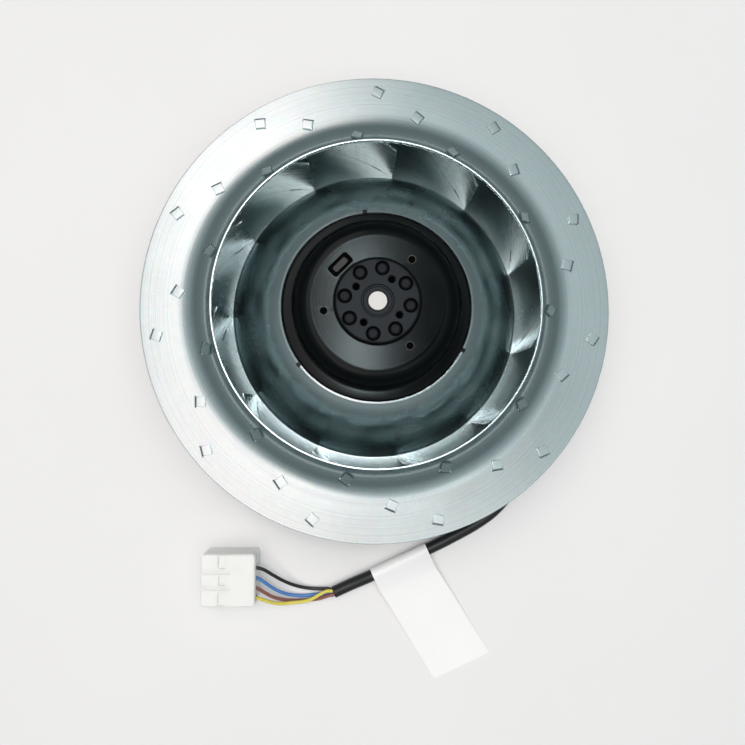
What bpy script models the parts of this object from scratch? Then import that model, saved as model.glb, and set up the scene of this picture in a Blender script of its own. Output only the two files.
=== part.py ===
# Motorized impeller: a backward-curved centrifugal wheel in galvanised sheet on an external-rotor motor.
# It lies on its mounting face, inlet up. Units are metres, +Z is the fan's axis towards the inlet, and
# the origin is on that axis in the plane of the mounting face.

import math

import bmesh
import bpy
from mathutils import Matrix, Vector

mm = 0.001
GAP = 0.3 * mm            # clearance between pieces that seat on each other
MERGE = 0.01 * mm         # distance under which a turned shape closes on itself
BEYOND = 1 * mm           # how far a cutter runs past the surface it opens
SHARP_ANGLE = 35          # degrees between two faces above which their edge is sharp

# Wheel
WHEEL_R = 110 * mm        # outer radius of both plates
SHEET = 1.0 * mm          # thickness of plates and blades
BACK_Z = 12 * mm          # underside of the back plate over the mounting face
OUTLET_W = 28 * mm        # clear width between the plates at the rim
RIM_TO_EYE = 34.8 * mm    # from the wheel's edge in to the inlet rim
EYE_R = WHEEL_R - RIM_TO_EYE  # outer radius of the inlet rim
BELL_W = 17 * mm          # radial width of the rounded bell
BELL_H = 12 * mm          # height of the rim over the flat of the shroud
EYE_TO_DOME = 3.5 * mm    # from the inlet rim in to the foot of the dome
DOME_R = EYE_R - EYE_TO_DOME  # radius where the back plate turns up into the dome
DOME_TOP_ANGLE = 20       # degrees from level where the dome meets the rotor
DOME_FOOT_ANGLE = 76      # degrees from level at the foot of the dome
LIP_H = 0.7 * mm          # upstand of the back plate round the rotor
NOTCH_ANGLES = (97, 217, 333)
NOTCH_W = 2.2 * mm
NOTCH_DEPTH = 0.7 * mm    # how far a notch reaches past the upstand
BELL_STEPS = 5
DOME_STEPS = 5
WHEEL_STEPS = 44

# Blades
BLADES = 11
BLADE_ARC_R = 95.5 * mm   # radius of the blade's curve
BLADE_PAST_EYE = 1.7 * mm  # how far a blade's inlet edge reaches inside the rim
BLADE_INSET = 1.2 * mm    # from the wheel's edge in to a blade's outlet edge
BLADE_INLET_R = EYE_R - BLADE_PAST_EYE
BLADE_OUTLET_R = WHEEL_R - BLADE_INSET
BLADE_INLET_ANGLE = 27    # degrees between the blade and the circle at its inlet edge
BLADE_PHASE = 17.3        # azimuth of the first blade's inlet edge, degrees
BLADE_INLET_H = 33.5 * mm  # height of the inlet edge over the back plate
BLADE_TOP_LEAD = 1.6 * mm  # how much further out the bell's height is read for the blade's edge
TAB_W = 4.6 * mm          # width of a tab along the blade
TAB_FLAP = 4.2 * mm       # length of the tab that is bent flat
TAB_INSETS = (27.2 * mm, 15.6 * mm, 5.4 * mm)   # top tabs, from the wheel's edge in
FOOT_INSETS = (32.1 * mm, 15.6 * mm, 5.4 * mm)  # tabs in the back plate, the same way
TAB_RADII = [WHEEL_R - inset for inset in TAB_INSETS]
FOOT_RADII = [WHEEL_R - inset for inset in FOOT_INSETS]
TOP_PLAY = 0.6 * mm       # spare length at each end of a slot in the shroud
FOOT_PLAY = 1.1 * mm      # the same in the back plate

# Rotor
CAN_R = 44.5 * mm         # outer radius of the rotor pot
CAN_WALL = 1.5 * mm
CAN_RIM_Z = 13 * mm       # open rim of the pot
STEP_Z = 42.3 * mm        # flat step that the wheel is clinched to
CAP_R = 39.3 * mm         # upright wall over the step
CAP_WALL_H = 5.7 * mm
SHOULDER_W = 9.3 * mm
STEP_CORNER = 1.2 * mm    # bevel at the outer edge of the step
FACE_Z = 55.5 * mm        # front face of the rotor
CENTRE_R = 18.7 * mm      # raised centre of the face
CENTRE_H = 2 * mm
CENTRE_SLOPE = 1.6 * mm   # radial width of the slope round the raised centre
CAN_STEPS = 28
RIVETS = 8
RIVET_CIRCLE_R = 14.8 * mm
RIVET_PAIR_ANGLE = 40     # degrees between the rivets of one pair
RIVET_PHASE = 82          # azimuth of the first rivet, degrees
RIVET_R = 1.6 * mm
RIVET_HEAD_R = 2.5 * mm
RIVET_HEAD_H = 0.7 * mm
RIVET_SIDES = 6
POCKET_R = 3.3 * mm
POCKET_DEPTH = 1.0 * mm
VENT_CIRCLE_R = 11.5 * mm
VENT_R = 1.8 * mm
THREAD_CIRCLE_R = 24.5 * mm
THREAD_R = 1.8 * mm
THREAD_ANGLES = (51, 190, 306)
WINDOW_CIRCLE_R = 23.6 * mm
WINDOW_ANGLE = 135
WINDOW_L = 12 * mm
WINDOW_W = 6.3 * mm
WINDOW_CORNER = 1.2 * mm
WINDOW_DEPTH = 1.0 * mm
HUB_FLANGE_R = 22 * mm
HUB_FLANGE_H = 3 * mm
HUB_TAPER = 1.5 * mm      # how much wider the hub's nose is at its flange
HUB_STEPS = 20
BOSS_R = 7.4 * mm         # boss that shows round the shaft
BOSS_TOP = 0.4 * mm       # how far the boss stays under the raised centre
SHAFT_R = 4.5 * mm
SHAFT_LOW_Z = 3.6 * mm
SHAFT_TOP = 0.1 * mm      # how far the shaft's end stays under the raised centre
SHAFT_CHAMFER = 0.4 * mm
CIRCLIP_DEPTH = 0.5 * mm
CIRCLIP_T = 1.0 * mm
CIRCLIP_R = 6.3 * mm
CIRCLIP_OPENING = 40      # half the angle of its gap, degrees
GROOVE_PLAY = 0.2 * mm    # how much wider than the ring its groove is, on each side

# Motor inside
CORE_Z = 18 * mm          # rear face of both lamination stacks
CORE_H = 18 * mm
STATOR_R = 34 * mm
AIR_GAP = 0.4 * mm
SLOTS = 12
SLOT_MOUTH = 2.2 * mm
SLOT_MOUTH_L = 1.5 * mm   # radial length of a slot's mouth
SLOT_LIP = 1.0 * mm       # slope from a slot's full width to its mouth
SLOT_LOW_R = 20.5 * mm
SLOT_TOP_R = STATOR_R - SLOT_MOUTH_L - SLOT_LIP
SLOT_W = 5.6 * mm
SLOT_FILL = 3.6 * mm      # width of the copper in a slot
WINDING_LOW_R = 19.6 * mm
WINDING_INSET = 1.6 * mm  # from the stator's rim in to the winding heads
WINDING_TOP_R = STATOR_R - WINDING_INSET
WINDING_H = 4.8 * mm      # height of a winding head
WINDING_BEVEL = 1.6 * mm
WINDING_STEPS = 24
COLLAR_R = 18.6 * mm      # insulating collar between winding head and bearing tube
CAGE_RING_W = 6.6 * mm    # radial width of the rotor's end rings
CAGE_RING_H = 3.6 * mm

# Bearings, a common 9 mm bore size
BEARING_R = 12 * mm
BEARING_W = 7 * mm
REAR_BEARING_Z = 7.5 * mm
FRONT_BEARING_Z = 37 * mm
RACE_IN_R = 6.9 * mm      # outer radius of the inner ring
RACE_OUT_R = 9.4 * mm     # inner radius of the outer ring
BALL_R = 2.0 * mm
BALLS = 7
GROOVE_STEPS = 2
CAGE_T = 1.2 * mm
WASHER_T = 0.3 * mm
WASHER_W = 0.9 * mm       # radial width of the spring washer
WASHER_WAVE = 0.4 * mm
WASHER_WAVES = 3
WASHER_STEPS = 18
RING_STEPS = 16

# Stator flange
FLANGE_R = 45 * mm
FLANGE_H = 10.4 * mm
FLANGE_CHAMFER = 2 * mm
TUBE_R = 14 * mm
TUBE_ROOT = 1.5 * mm      # fillet where the tube rises from the flange
TUBE_SHOULDER_R = 10.3 * mm
M4_HOLES = 4
M4_CIRCLE_R = 31 * mm
M4_CORE_R = 1.65 * mm
M4_DEPTH = 8 * mm
M4_PHASE = 45
FLANGE_STEPS = 28
CAP_T = 1.4 * mm          # rear dust cap
CAP_SKIRT = 2.0 * mm      # thickness of the skirt that fills the bore's edge
CAP_INSET = 0.6 * mm

# Lead: a sleeve of four wires from the flange's side, along the table, to the connector
EXIT_AZIMUTH = -35
SLEEVE_R = 3.0 * mm
GLAND_Z = 5.4 * mm
GLAND_COLLAR_R = 5.0 * mm
GLAND_COLLAR_T = 2.5 * mm
GLAND_ROOT_R = 4.4 * mm   # the taper's radius at the collar
GLAND_TIP_R = 3.7 * mm
GLAND_TAPER = 20 * mm
GLAND_STEM_R = 3.6 * mm
GLAND_STEM = 8 * mm
GLAND_STEPS = 12
WIRE_R = 0.87 * mm
CORD_PITCH = 7 * mm
WIRE_PITCH = 4 * mm

# The sleeve's route over the table, in millimetres, after its exit from the gland
SLEEVE_ROUTE = [
    (59.6, -42.0, 5.0),
    (65.8, -48.4, 4.0),
    (71.0, -56.6, 3.2),
    (74.4, -66.0, 3.1),
    (75.4, -76.2, 3.1),
    (73.2, -86.6, 3.1),
    (67.8, -95.6, 3.1),
    (61.4, -102.2, 3.1),
    (54.1, -107.3, 3.1),
    (48.2, -110.7, 3.2),
    (42.0, -113.8, 3.6),
    (35.0, -117.2, 4.0),
    (28.2, -120.3, 4.2),
    (20.4, -123.9, 4.2),
    (13.1, -127.2, 4.2),
    (5.8, -130.5, 4.2),
    (-2.0, -134.0, 4.2),
    (-7.4, -136.4, 3.6),
    (-12.2, -138.5, 3.1),
    (-16.8, -140.5, 3.1),
    (-21.1, -142.4, 3.1),
]

# Each wire's route in millimetres, from the sleeve's cut end to the connector
WIRE_ROUTES = {
    "wire_black": [
        (-22.2, -141.5, 2.0),
        (-24.0, -141.0, 1.9),
        (-28.0, -141.1, 1.5),
        (-33.0, -140.9, 1.4),
        (-38.0, -139.9, 2.2),
        (-43.0, -137.9, 4.0),
        (-47.5, -135.2, 6.3),
        (-52.0, -131.9, 8.7),
        (-56.0, -129.0, 10.3),
        (-59.0, -127.8, 10.9),
        (-61.6, -127.5, 11.0),
    ],
    "wire_blue": [
        (-21.4, -143.5, 2.0),
        (-24.0, -143.5, 1.9),
        (-28.0, -143.7, 1.3),
        (-33.0, -144.3, 1.2),
        (-38.0, -144.6, 1.2),
        (-43.0, -144.0, 2.0),
        (-47.5, -142.2, 4.0),
        (-52.0, -139.0, 7.0),
        (-56.0, -135.3, 9.6),
        (-59.0, -133.0, 10.8),
        (-61.6, -132.5, 11.0),
    ],
    "wire_brown": [
        (-21.4, -143.5, 4.2),
        (-23.8, -143.9, 3.9),
        (-27.7, -145.6, 2.4),
        (-32.0, -146.6, 1.3),
        (-38.0, -147.0, 1.0),
        (-43.0, -146.9, 1.3),
        (-47.5, -146.0, 2.9),
        (-52.0, -143.8, 5.9),
        (-56.0, -140.5, 9.2),
        (-59.0, -138.1, 10.8),
        (-61.6, -137.5, 11.0),
    ],
    "wire_green_yellow": [
        (-22.2, -141.5, 4.2),
        (-24.2, -141.4, 4.5),
        (-27.0, -142.3, 4.7),
        (-30.6, -144.4, 4.6),
        (-34.0, -146.1, 4.0),
        (-38.0, -147.1, 3.2),
        (-43.0, -147.5, 3.4),
        (-48.0, -147.4, 4.9),
        (-52.2, -146.2, 7.2),
        (-56.0, -144.2, 9.6),
        (-59.0, -142.8, 10.8),
        (-61.6, -142.5, 11.0),
    ],
}

# Connector housing and label
CONNECTOR_LOW = (-86.5 * mm, -145.35 * mm)
CONNECTOR_L = 26.8 * mm
CONNECTOR_W = 25.7 * mm
CONNECTOR_H = 17 * mm
CONNECTOR_EDGE = 0.6 * mm
CONNECTOR_RIB = 1.2 * mm  # wall between a corner pocket and the latch
WAYS = 5
WAY_PITCH = 5 * mm
WAY_R = 1.6 * mm
WAY_Z = 11 * mm
CONTACT_R = 1.3 * mm
CONTACT_L = 14 * mm
BLOCK_L = 8.6 * mm        # corner blocks at the mating end
BLOCK_POCKET = 3.6 * mm
BLOCK_POCKET_DEPTH = 2.4 * mm
LATCH_W = 6.4 * mm
LATCH_L = 14.4 * mm
LATCH_SLOT = 1.3 * mm
LATCH_SLOT_DEPTH = 2.0 * mm
LABEL_W = 31 * mm
LABEL_T = 0.5 * mm
LABEL_TAIL = 62 * mm
LABEL_NECK = 5 * mm       # from the loop to where its two halves meet
LABEL_AT = (13.1 * mm, -127.2 * mm, 4.2 * mm)
LABEL_TURN = -65.7        # direction square to the sleeve under the label, degrees
LABEL_SKEW = 7            # how far the tail swings from that direction, degrees
LABEL_SLACK = 0.5 * mm    # looseness of the loop round the sleeve
LABEL_FAR_Z = 0.7 * mm

# Sizes that follow from those above
SHROUD_Z = BACK_Z + SHEET + OUTLET_W + SHEET
BELL_R = EYE_R + BELL_W
CENTRE_Z = FACE_Z + CENTRE_H
BLADE_PITCH = 360 / BLADES
HUB_TOP_Z = CENTRE_Z - CAN_WALL - GAP
HUB_STEP_R = CENTRE_R - CAN_WALL - GAP
HUB_FLANGE_Z = FACE_Z - CAN_WALL - GAP
HUB_LOW_Z = FRONT_BEARING_Z + BEARING_W + GAP
SHAFT_BORE_R = SHAFT_R + GAP
RIVET_HOLE_R = RIVET_R + GAP
BEARING_BORE_R = BEARING_R + GAP
BALL_CIRCLE_R = (RACE_IN_R + RACE_OUT_R) / 2
WASHER_H = WASHER_T + 2 * WASHER_WAVE
WASHER_Z = REAR_BEARING_Z + BEARING_W + GAP + WASHER_H / 2
SHOULDER_Z = WASHER_Z + WASHER_H / 2 + GAP
FRONT_SEAT_Z = FRONT_BEARING_Z - GAP
TUBE_TOP_Z = FRONT_BEARING_Z + BEARING_W
ROTOR_BORE_R = STATOR_R + AIR_GAP
ROTOR_CORE_R = CAN_R - CAN_WALL - GAP


def clear_scene():
    for old in list(bpy.data.objects):
        bpy.data.objects.remove(old, do_unlink=True)


def new_collection(name):
    collection = bpy.data.collections.new(name)
    bpy.context.scene.collection.children.link(collection)
    return collection


def finish(name, colour, roughness, metallic):
    material = bpy.data.materials.new(name)
    material.use_nodes = True
    shader = material.node_tree.nodes["Principled BSDF"]
    shader.inputs["Base Color"].default_value = (*colour, 1)
    shader.inputs["Roughness"].default_value = roughness
    shader.inputs["Metallic"].default_value = metallic
    return material


clear_scene()
parts = new_collection("motorized_impeller")
cutters = new_collection("cutters")

GALVANISED = finish("galvanised sheet", (0.56, 0.60, 0.61), 0.32, 1.0)
BLACK_PAINT = finish("black electrocoat", (0.012, 0.013, 0.014), 0.38, 0.0)
BRIGHT_STEEL = finish("ground steel", (0.70, 0.69, 0.66), 0.22, 1.0)
CAST_ALLOY = finish("die-cast aluminium", (0.55, 0.56, 0.57), 0.5, 1.0)
LAMINATION = finish("electrical steel", (0.25, 0.25, 0.27), 0.5, 1.0)
COPPER = finish("enamelled copper", (0.45, 0.16, 0.06), 0.35, 1.0)
BEARING_STEEL = finish("bearing steel", (0.60, 0.60, 0.62), 0.18, 1.0)
DARK_PLASTIC = finish("black polyamide", (0.02, 0.02, 0.02), 0.5, 0.0)
COLLAR_PLASTIC = finish("white polyester", (0.7, 0.7, 0.66), 0.5, 0.0)
SLEEVE_PVC = finish("black PVC sleeve", (0.015, 0.016, 0.018), 0.45, 0.0)
NYLON = finish("natural nylon", (0.78, 0.79, 0.75), 0.4, 0.0)
LABEL_VINYL = finish("white vinyl", (0.82, 0.82, 0.80), 0.5, 0.0)
TIN = finish("tinned brass", (0.65, 0.63, 0.58), 0.3, 1.0)
WIRE_COLOURS = {
    "wire_black": finish("black wire", (0.02, 0.02, 0.02), 0.4, 0.0),
    "wire_blue": finish("blue wire", (0.07, 0.22, 0.5), 0.4, 0.0),
    "wire_brown": finish("brown wire", (0.2, 0.09, 0.06), 0.4, 0.0),
    "wire_green_yellow": finish("green and yellow wire", (0.6, 0.58, 0.1), 0.4, 0.0),
}


def place(name, data, material, collection=parts):
    """Links an object and gives it its material."""
    piece = bpy.data.objects.new(name, data)
    collection.objects.link(piece)
    if material and not data.materials:
        data.materials.append(material)
    return piece


def as_cutter(piece):
    piece.hide_render = True
    piece.display_type = "WIRE"
    return piece


def settle(pieces):
    """Makes the modifiers real and shades the round faces smooth between their sharp edges."""
    depsgraph = bpy.context.evaluated_depsgraph_get()
    for piece in pieces:
        mesh = bpy.data.meshes.new_from_object(piece.evaluated_get(depsgraph))
        mesh.shade_smooth()
        mesh.set_sharp_from_angle(angle=math.radians(SHARP_ANGLE))
        piece.modifiers.clear()
        piece.data = mesh


def polar(radius, azimuth, z=0.0):
    """A point at a radius and an azimuth in degrees."""
    turn = math.radians(azimuth)
    return Vector((radius * math.cos(turn), radius * math.sin(turn), z))


def profile_mesh(name, profile, closed):
    """Joins (radius, height) points into a line of edges in the XZ plane."""
    mesh = bpy.data.meshes.new(name)
    points = [(radius, 0, height) for radius, height in profile]
    edges = [(i, i + 1) for i in range(len(points) - 1)]
    if closed:
        edges.append((len(points) - 1, 0))
    mesh.from_pydata(points, edges, [])
    return mesh


def turned(name, profile, material, steps, closed=True, collection=parts):
    """A profile at +X, down its outer side, turned about Z."""
    piece = place(name, profile_mesh(name, profile, closed), material, collection)
    screw = piece.modifiers.new("turn", "SCREW")
    screw.angle = math.tau
    screw.steps = steps
    screw.render_steps = steps
    screw.use_merge_vertices = True
    screw.merge_threshold = MERGE
    screw.use_smooth_shade = True
    return piece


def thicken(piece, thickness, offset):
    """Gives an open surface its wall."""
    wall = piece.modifiers.new("wall", "SOLIDIFY")
    wall.thickness = thickness
    wall.offset = offset
    wall.use_even_offset = True
    return wall


def cut(piece, cutter):
    boolean = piece.modifiers.new("cut", "BOOLEAN")
    boolean.operation = "DIFFERENCE"
    boolean.object = cutter
    boolean.solver = "EXACT"


def join(piece, addition):
    boolean = piece.modifiers.new("join", "BOOLEAN")
    boolean.operation = "UNION"
    boolean.object = addition
    boolean.solver = "EXACT"


def tool_mesh(name):
    """Starts an empty cutter, and returns it with a bmesh to fill."""
    return as_cutter(place(name, bpy.data.meshes.new(name), None, cutters)), bmesh.new()


def fill(piece, shape):
    shape.to_mesh(piece.data)
    shape.free()


def add_box(shape, size, matrix, corner=0):
    """A box, with its four upright edges bevelled where a corner size is given."""
    made = bmesh.ops.create_cube(shape, size=1, matrix=Matrix.Diagonal((*size, 1)))
    verts = made["verts"]
    if corner:
        edges = {edge for vert in verts for edge in vert.link_edges}
        upright = [edge for edge in edges if abs(edge.verts[0].co.z - edge.verts[1].co.z) > size[2] / 2]
        rounded = bmesh.ops.bevel(shape, geom=upright, offset=corner, segments=1, affect="EDGES")
        verts = list({vert for face in rounded["faces"] for vert in face.verts})
    bmesh.ops.transform(shape, matrix=matrix, verts=verts)


def add_rod(shape, radius, length, matrix, sides):
    bmesh.ops.create_cone(
        shape, cap_ends=True, segments=sides, radius1=radius, radius2=radius, depth=length, matrix=matrix
    )


# Shroud

def bell_points():
    """The upper side of the shroud, from the rim down the bell and out over the flat."""
    points = []
    for step in range(BELL_STEPS + 1):
        turn = math.radians(90 * (1 - step / BELL_STEPS))
        points.append((BELL_R - BELL_W * math.sin(turn), SHROUD_Z + BELL_H * (1 - math.cos(turn))))
    points.append((WHEEL_R, SHROUD_Z))
    return points


def shroud_top(radius):
    """Height of the shroud's upper side, read from the same points as its profile."""
    points = bell_points()
    for (near_r, near_z), (far_r, far_z) in zip(points, points[1:]):
        if radius <= far_r:
            share = (radius - near_r) / (far_r - near_r)
            return near_z + share * (far_z - near_z)
    return points[-1][1]


def shroud_slope(radius):
    """Steepness of the shroud at a radius, as height lost over radius gained."""
    step = 0.5 * mm
    return (shroud_top(radius - step) - shroud_top(radius + step)) / (2 * step)


def upright_share(radius):
    """How much thicker the sloped sheet is when measured upright."""
    return math.hypot(1, shroud_slope(radius))


# Blade curve: an arc about a point that the inlet radius and angle fix

def arc_centre():
    turn = math.radians(BLADE_INLET_ANGLE)
    start = Vector((BLADE_INLET_R, 0))
    along = Vector((math.sin(turn), math.cos(turn)))
    left = Vector((-along.y, along.x))
    return start + left * BLADE_ARC_R


def blade_point(radius):
    """The point of the first blade's curve at a radius, with the side that its centre is on."""
    centre = arc_centre()
    reach = centre.length
    cosine = (radius**2 + reach**2 - BLADE_ARC_R**2) / (2 * radius * reach)
    azimuth = math.atan2(centre.y, centre.x) - math.acos(cosine)
    point = Vector((radius * math.cos(azimuth), radius * math.sin(azimuth)))
    hollow = (centre - point).normalized()
    return point, hollow


def tab_edges(radius):
    """Radii of a tab's two edges, its width measured along the curve."""
    point, hollow = blade_point(radius)
    along = Vector((hollow.y, -hollow.x))
    rise = abs(along.dot(point.normalized()))
    reach = TAB_W / 2 * rise
    return radius - reach, radius + reach


def blade_top(radius):
    """Upper edge of the blade: level at the inlet, then just under the shroud."""
    inlet_top = BACK_Z + SHEET + BLADE_INLET_H
    probe = radius + BLADE_TOP_LEAD
    if probe < EYE_R:
        return inlet_top
    under = shroud_top(probe) - SHEET * upright_share(probe) - GAP
    return min(inlet_top, under)


def blade_mesh():
    """One blade as a bent strip with three tabs at its foot and three at its top."""
    radii = {BLADE_INLET_R, BLADE_OUTLET_R}
    top_tabs = [tab_edges(radius) for radius in TAB_RADII]
    foot_tabs = [tab_edges(radius) for radius in FOOT_RADII]
    for edges in top_tabs + foot_tabs:
        radii.update(edges)
    radii = sorted(radii)
    shape = bmesh.new()
    foot_z = BACK_Z + SHEET + GAP
    low = {}
    high = {}
    for radius in radii:
        point, hollow = blade_point(radius)
        low[radius] = shape.verts.new((*point, foot_z))
        high[radius] = shape.verts.new((*point, blade_top(radius)))
    for near, far in zip(radii, radii[1:]):
        shape.faces.new((low[near], low[far], high[far], high[near]))
    clear = GAP + SHEET / 2

    def on_shroud(point):
        radius = point.length
        return shroud_top(radius) + clear * upright_share(radius)

    def under_plate(point):
        return BACK_Z - clear

    for tabs, edge, height in ((top_tabs, high, on_shroud), (foot_tabs, low, under_plate)):
        for ends in tabs:
            start, stop = ends
            inside = [radius for radius in radii if start <= radius <= stop]
            rows = []
            for radius in inside:
                point, hollow = blade_point(radius)
                flap = point + hollow * TAB_FLAP
                fold_vert = shape.verts.new((*point, height(point)))
                flap_vert = shape.verts.new((*flap, height(flap)))
                rows.append((edge[radius], fold_vert, flap_vert))
            for row, next_row in zip(rows, rows[1:]):
                shape.faces.new((row[0], next_row[0], next_row[1], row[1]))
                shape.faces.new((row[1], next_row[1], next_row[2], row[2]))
    bmesh.ops.recalc_face_normals(shape, faces=shape.faces)
    mesh = bpy.data.meshes.new("blade")
    shape.to_mesh(mesh)
    shape.free()
    mesh.materials.append(GALVANISED)
    return mesh


def make_blades():
    mesh = blade_mesh()
    for index in range(BLADES):
        blade = place(f"blade_{index + 1:02d}", mesh, GALVANISED)
        blade.rotation_euler.z = math.radians(BLADE_PHASE + index * BLADE_PITCH)
        thicken(blade, SHEET, 0)


def add_slots(shape, radii, play, low_z, high_z):
    """Upright slots through a plate, one for each tab of every blade."""
    for index in range(BLADES):
        turn = Matrix.Rotation(math.radians(BLADE_PHASE + index * BLADE_PITCH), 4, "Z")
        for radius in radii:
            point, hollow = blade_point(radius)
            facing = Matrix.Rotation(math.atan2(hollow.y, hollow.x), 4, "Z")
            middle = Matrix.Translation((*point, (low_z + high_z) / 2))
            size = (SHEET + 2 * GAP, TAB_W + 2 * play, high_z - low_z)
            add_box(shape, size, turn @ middle @ facing)


def make_shroud():
    shroud = turned("front_shroud", bell_points(), GALVANISED, WHEEL_STEPS, closed=False)
    thicken(shroud, SHEET, -1)
    tool, shape = tool_mesh("shroud_slots")
    add_slots(shape, TAB_RADII, TOP_PLAY, SHROUD_Z - SHEET - BEYOND, SHROUD_Z + BELL_H)
    fill(tool, shape)
    cut(shroud, tool)


def dome_points():
    """The upper side of the back plate, from its upstand at the rotor to its outer edge."""
    lip_r = CAN_R + GAP + SHEET
    land_z = STEP_Z - LIP_H
    points = [(lip_r, STEP_Z + LIP_H)]
    foot_z = BACK_Z + SHEET
    width = DOME_R - lip_r
    height = land_z - foot_z
    start = math.radians(DOME_TOP_ANGLE)
    stop = math.radians(DOME_FOOT_ANGLE)
    for step in range(DOME_STEPS + 1):
        turn = start + (stop - start) * step / DOME_STEPS
        out = (math.sin(turn) - math.sin(start)) / (math.sin(stop) - math.sin(start))
        up = (math.cos(turn) - math.cos(stop)) / (math.cos(start) - math.cos(stop))
        points.append((lip_r + width * out, foot_z + height * up))
    points.append((WHEEL_R, foot_z))
    return points


def make_back_plate():
    plate = turned("back_plate", dome_points(), GALVANISED, WHEEL_STEPS, closed=False)
    thicken(plate, SHEET, -1)
    tool, shape = tool_mesh("back_plate_slots")
    add_slots(shape, FOOT_RADII, FOOT_PLAY, BACK_Z - BEYOND, BACK_Z + SHEET + BEYOND)
    notch_low_r = CAN_R - BEYOND
    notch_high_r = CAN_R + GAP + SHEET + NOTCH_DEPTH
    notch_h = 2 * (LIP_H + SHEET + BEYOND)
    for azimuth in NOTCH_ANGLES:
        turn = Matrix.Rotation(math.radians(azimuth), 4, "Z")
        middle = Matrix.Translation(((notch_low_r + notch_high_r) / 2, 0, STEP_Z))
        add_box(shape, (notch_high_r - notch_low_r, NOTCH_W, notch_h), turn @ middle)
    fill(tool, shape)
    cut(plate, tool)


# Rotor pot and what closes its front

def shoulder_points(count):
    """The rounded shoulder from the upright wall to the face."""
    base_z = STEP_Z + CAP_WALL_H
    points = []
    for step in range(count + 1):
        turn = math.radians(90 * step / count)
        radius = CAP_R - SHOULDER_W * (1 - math.cos(turn))
        points.append((radius, base_z + (FACE_Z - base_z) * math.sin(turn)))
    return points


def can_points():
    """The outer side of the pot, from the hole for the boss out and down to its open rim."""
    points = [(BOSS_R + GAP, CENTRE_Z), (CENTRE_R, CENTRE_Z), (CENTRE_R + CENTRE_SLOPE, FACE_Z)]
    points += reversed(shoulder_points(4))
    points += [(CAP_R, STEP_Z), (CAN_R - STEP_CORNER, STEP_Z), (CAN_R, STEP_Z - STEP_CORNER), (CAN_R, CAN_RIM_Z)]
    return points


def rivet_azimuths():
    """Four pairs of rivets, evenly spread."""
    pair_pitch = 720 / RIVETS
    azimuths = []
    for pair in range(RIVETS // 2):
        for side in (0, RIVET_PAIR_ANGLE):
            azimuths.append(RIVET_PHASE + pair * pair_pitch + side)
    return azimuths


def vent_azimuths():
    """One small hole in each wide gap between two rivet pairs."""
    pair_pitch = 720 / RIVETS
    return [RIVET_PHASE + (RIVET_PAIR_ANGLE - pair_pitch) / 2 + pair * pair_pitch for pair in range(RIVETS // 2)]


def make_can():
    can = turned("rotor_can", can_points(), BLACK_PAINT, CAN_STEPS, closed=False)
    thicken(can, CAN_WALL, -1)
    tool, shape = tool_mesh("can_pockets")
    pocket_h = POCKET_DEPTH + BEYOND
    window_h = WINDOW_DEPTH + BEYOND
    through = CAN_WALL + 2 * BEYOND
    for azimuth in rivet_azimuths():
        pocket = Matrix.Translation(polar(RIVET_CIRCLE_R, azimuth, CENTRE_Z - POCKET_DEPTH + pocket_h / 2))
        add_rod(shape, POCKET_R, pocket_h, pocket, 8)
    fill(tool, shape)
    cut(can, tool)
    holes, shape = tool_mesh("can_holes")
    for azimuth in rivet_azimuths():
        hole = Matrix.Translation(polar(RIVET_CIRCLE_R, azimuth, CENTRE_Z - CAN_WALL / 2))
        add_rod(shape, RIVET_HOLE_R, through, hole, RIVET_SIDES)
    for azimuth in vent_azimuths():
        hole = Matrix.Translation(polar(VENT_CIRCLE_R, azimuth, CENTRE_Z - CAN_WALL / 2))
        add_rod(shape, VENT_R, through, hole, 6)
    for azimuth in THREAD_ANGLES:
        hole = Matrix.Translation(polar(THREAD_CIRCLE_R, azimuth, FACE_Z - CAN_WALL / 2))
        add_rod(shape, THREAD_R, through, hole, 8)
    turn = Matrix.Rotation(math.radians(WINDOW_ANGLE), 4, "Z")
    middle = Matrix.Translation((WINDOW_CIRCLE_R, 0, FACE_Z - WINDOW_DEPTH + window_h / 2))
    add_box(shape, (WINDOW_W, WINDOW_L, window_h), turn @ middle, WINDOW_CORNER)
    fill(holes, shape)
    cut(can, holes)


def make_hub():
    profile = [
        (BOSS_R, CENTRE_Z - BOSS_TOP),
        (BOSS_R, HUB_TOP_Z),
        (HUB_STEP_R, HUB_TOP_Z),
        (HUB_STEP_R, HUB_FLANGE_Z),
        (HUB_FLANGE_R, HUB_FLANGE_Z),
        (HUB_FLANGE_R, HUB_FLANGE_Z - HUB_FLANGE_H),
        (RACE_IN_R + HUB_TAPER, HUB_FLANGE_Z - HUB_FLANGE_H),
        (RACE_IN_R, HUB_LOW_Z),
        (SHAFT_BORE_R, HUB_LOW_Z),
        (SHAFT_BORE_R, CENTRE_Z - BOSS_TOP),
    ]
    hub = turned("rotor_hub", profile, CAST_ALLOY, HUB_STEPS)
    tool, shape = tool_mesh("hub_holes")
    span = CENTRE_Z - HUB_LOW_Z
    for azimuth in rivet_azimuths():
        hole = Matrix.Translation(polar(RIVET_CIRCLE_R, azimuth, HUB_FLANGE_Z))
        add_rod(shape, RIVET_HOLE_R, span, hole, RIVET_SIDES)
    fill(tool, shape)
    cut(hub, tool)


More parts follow.
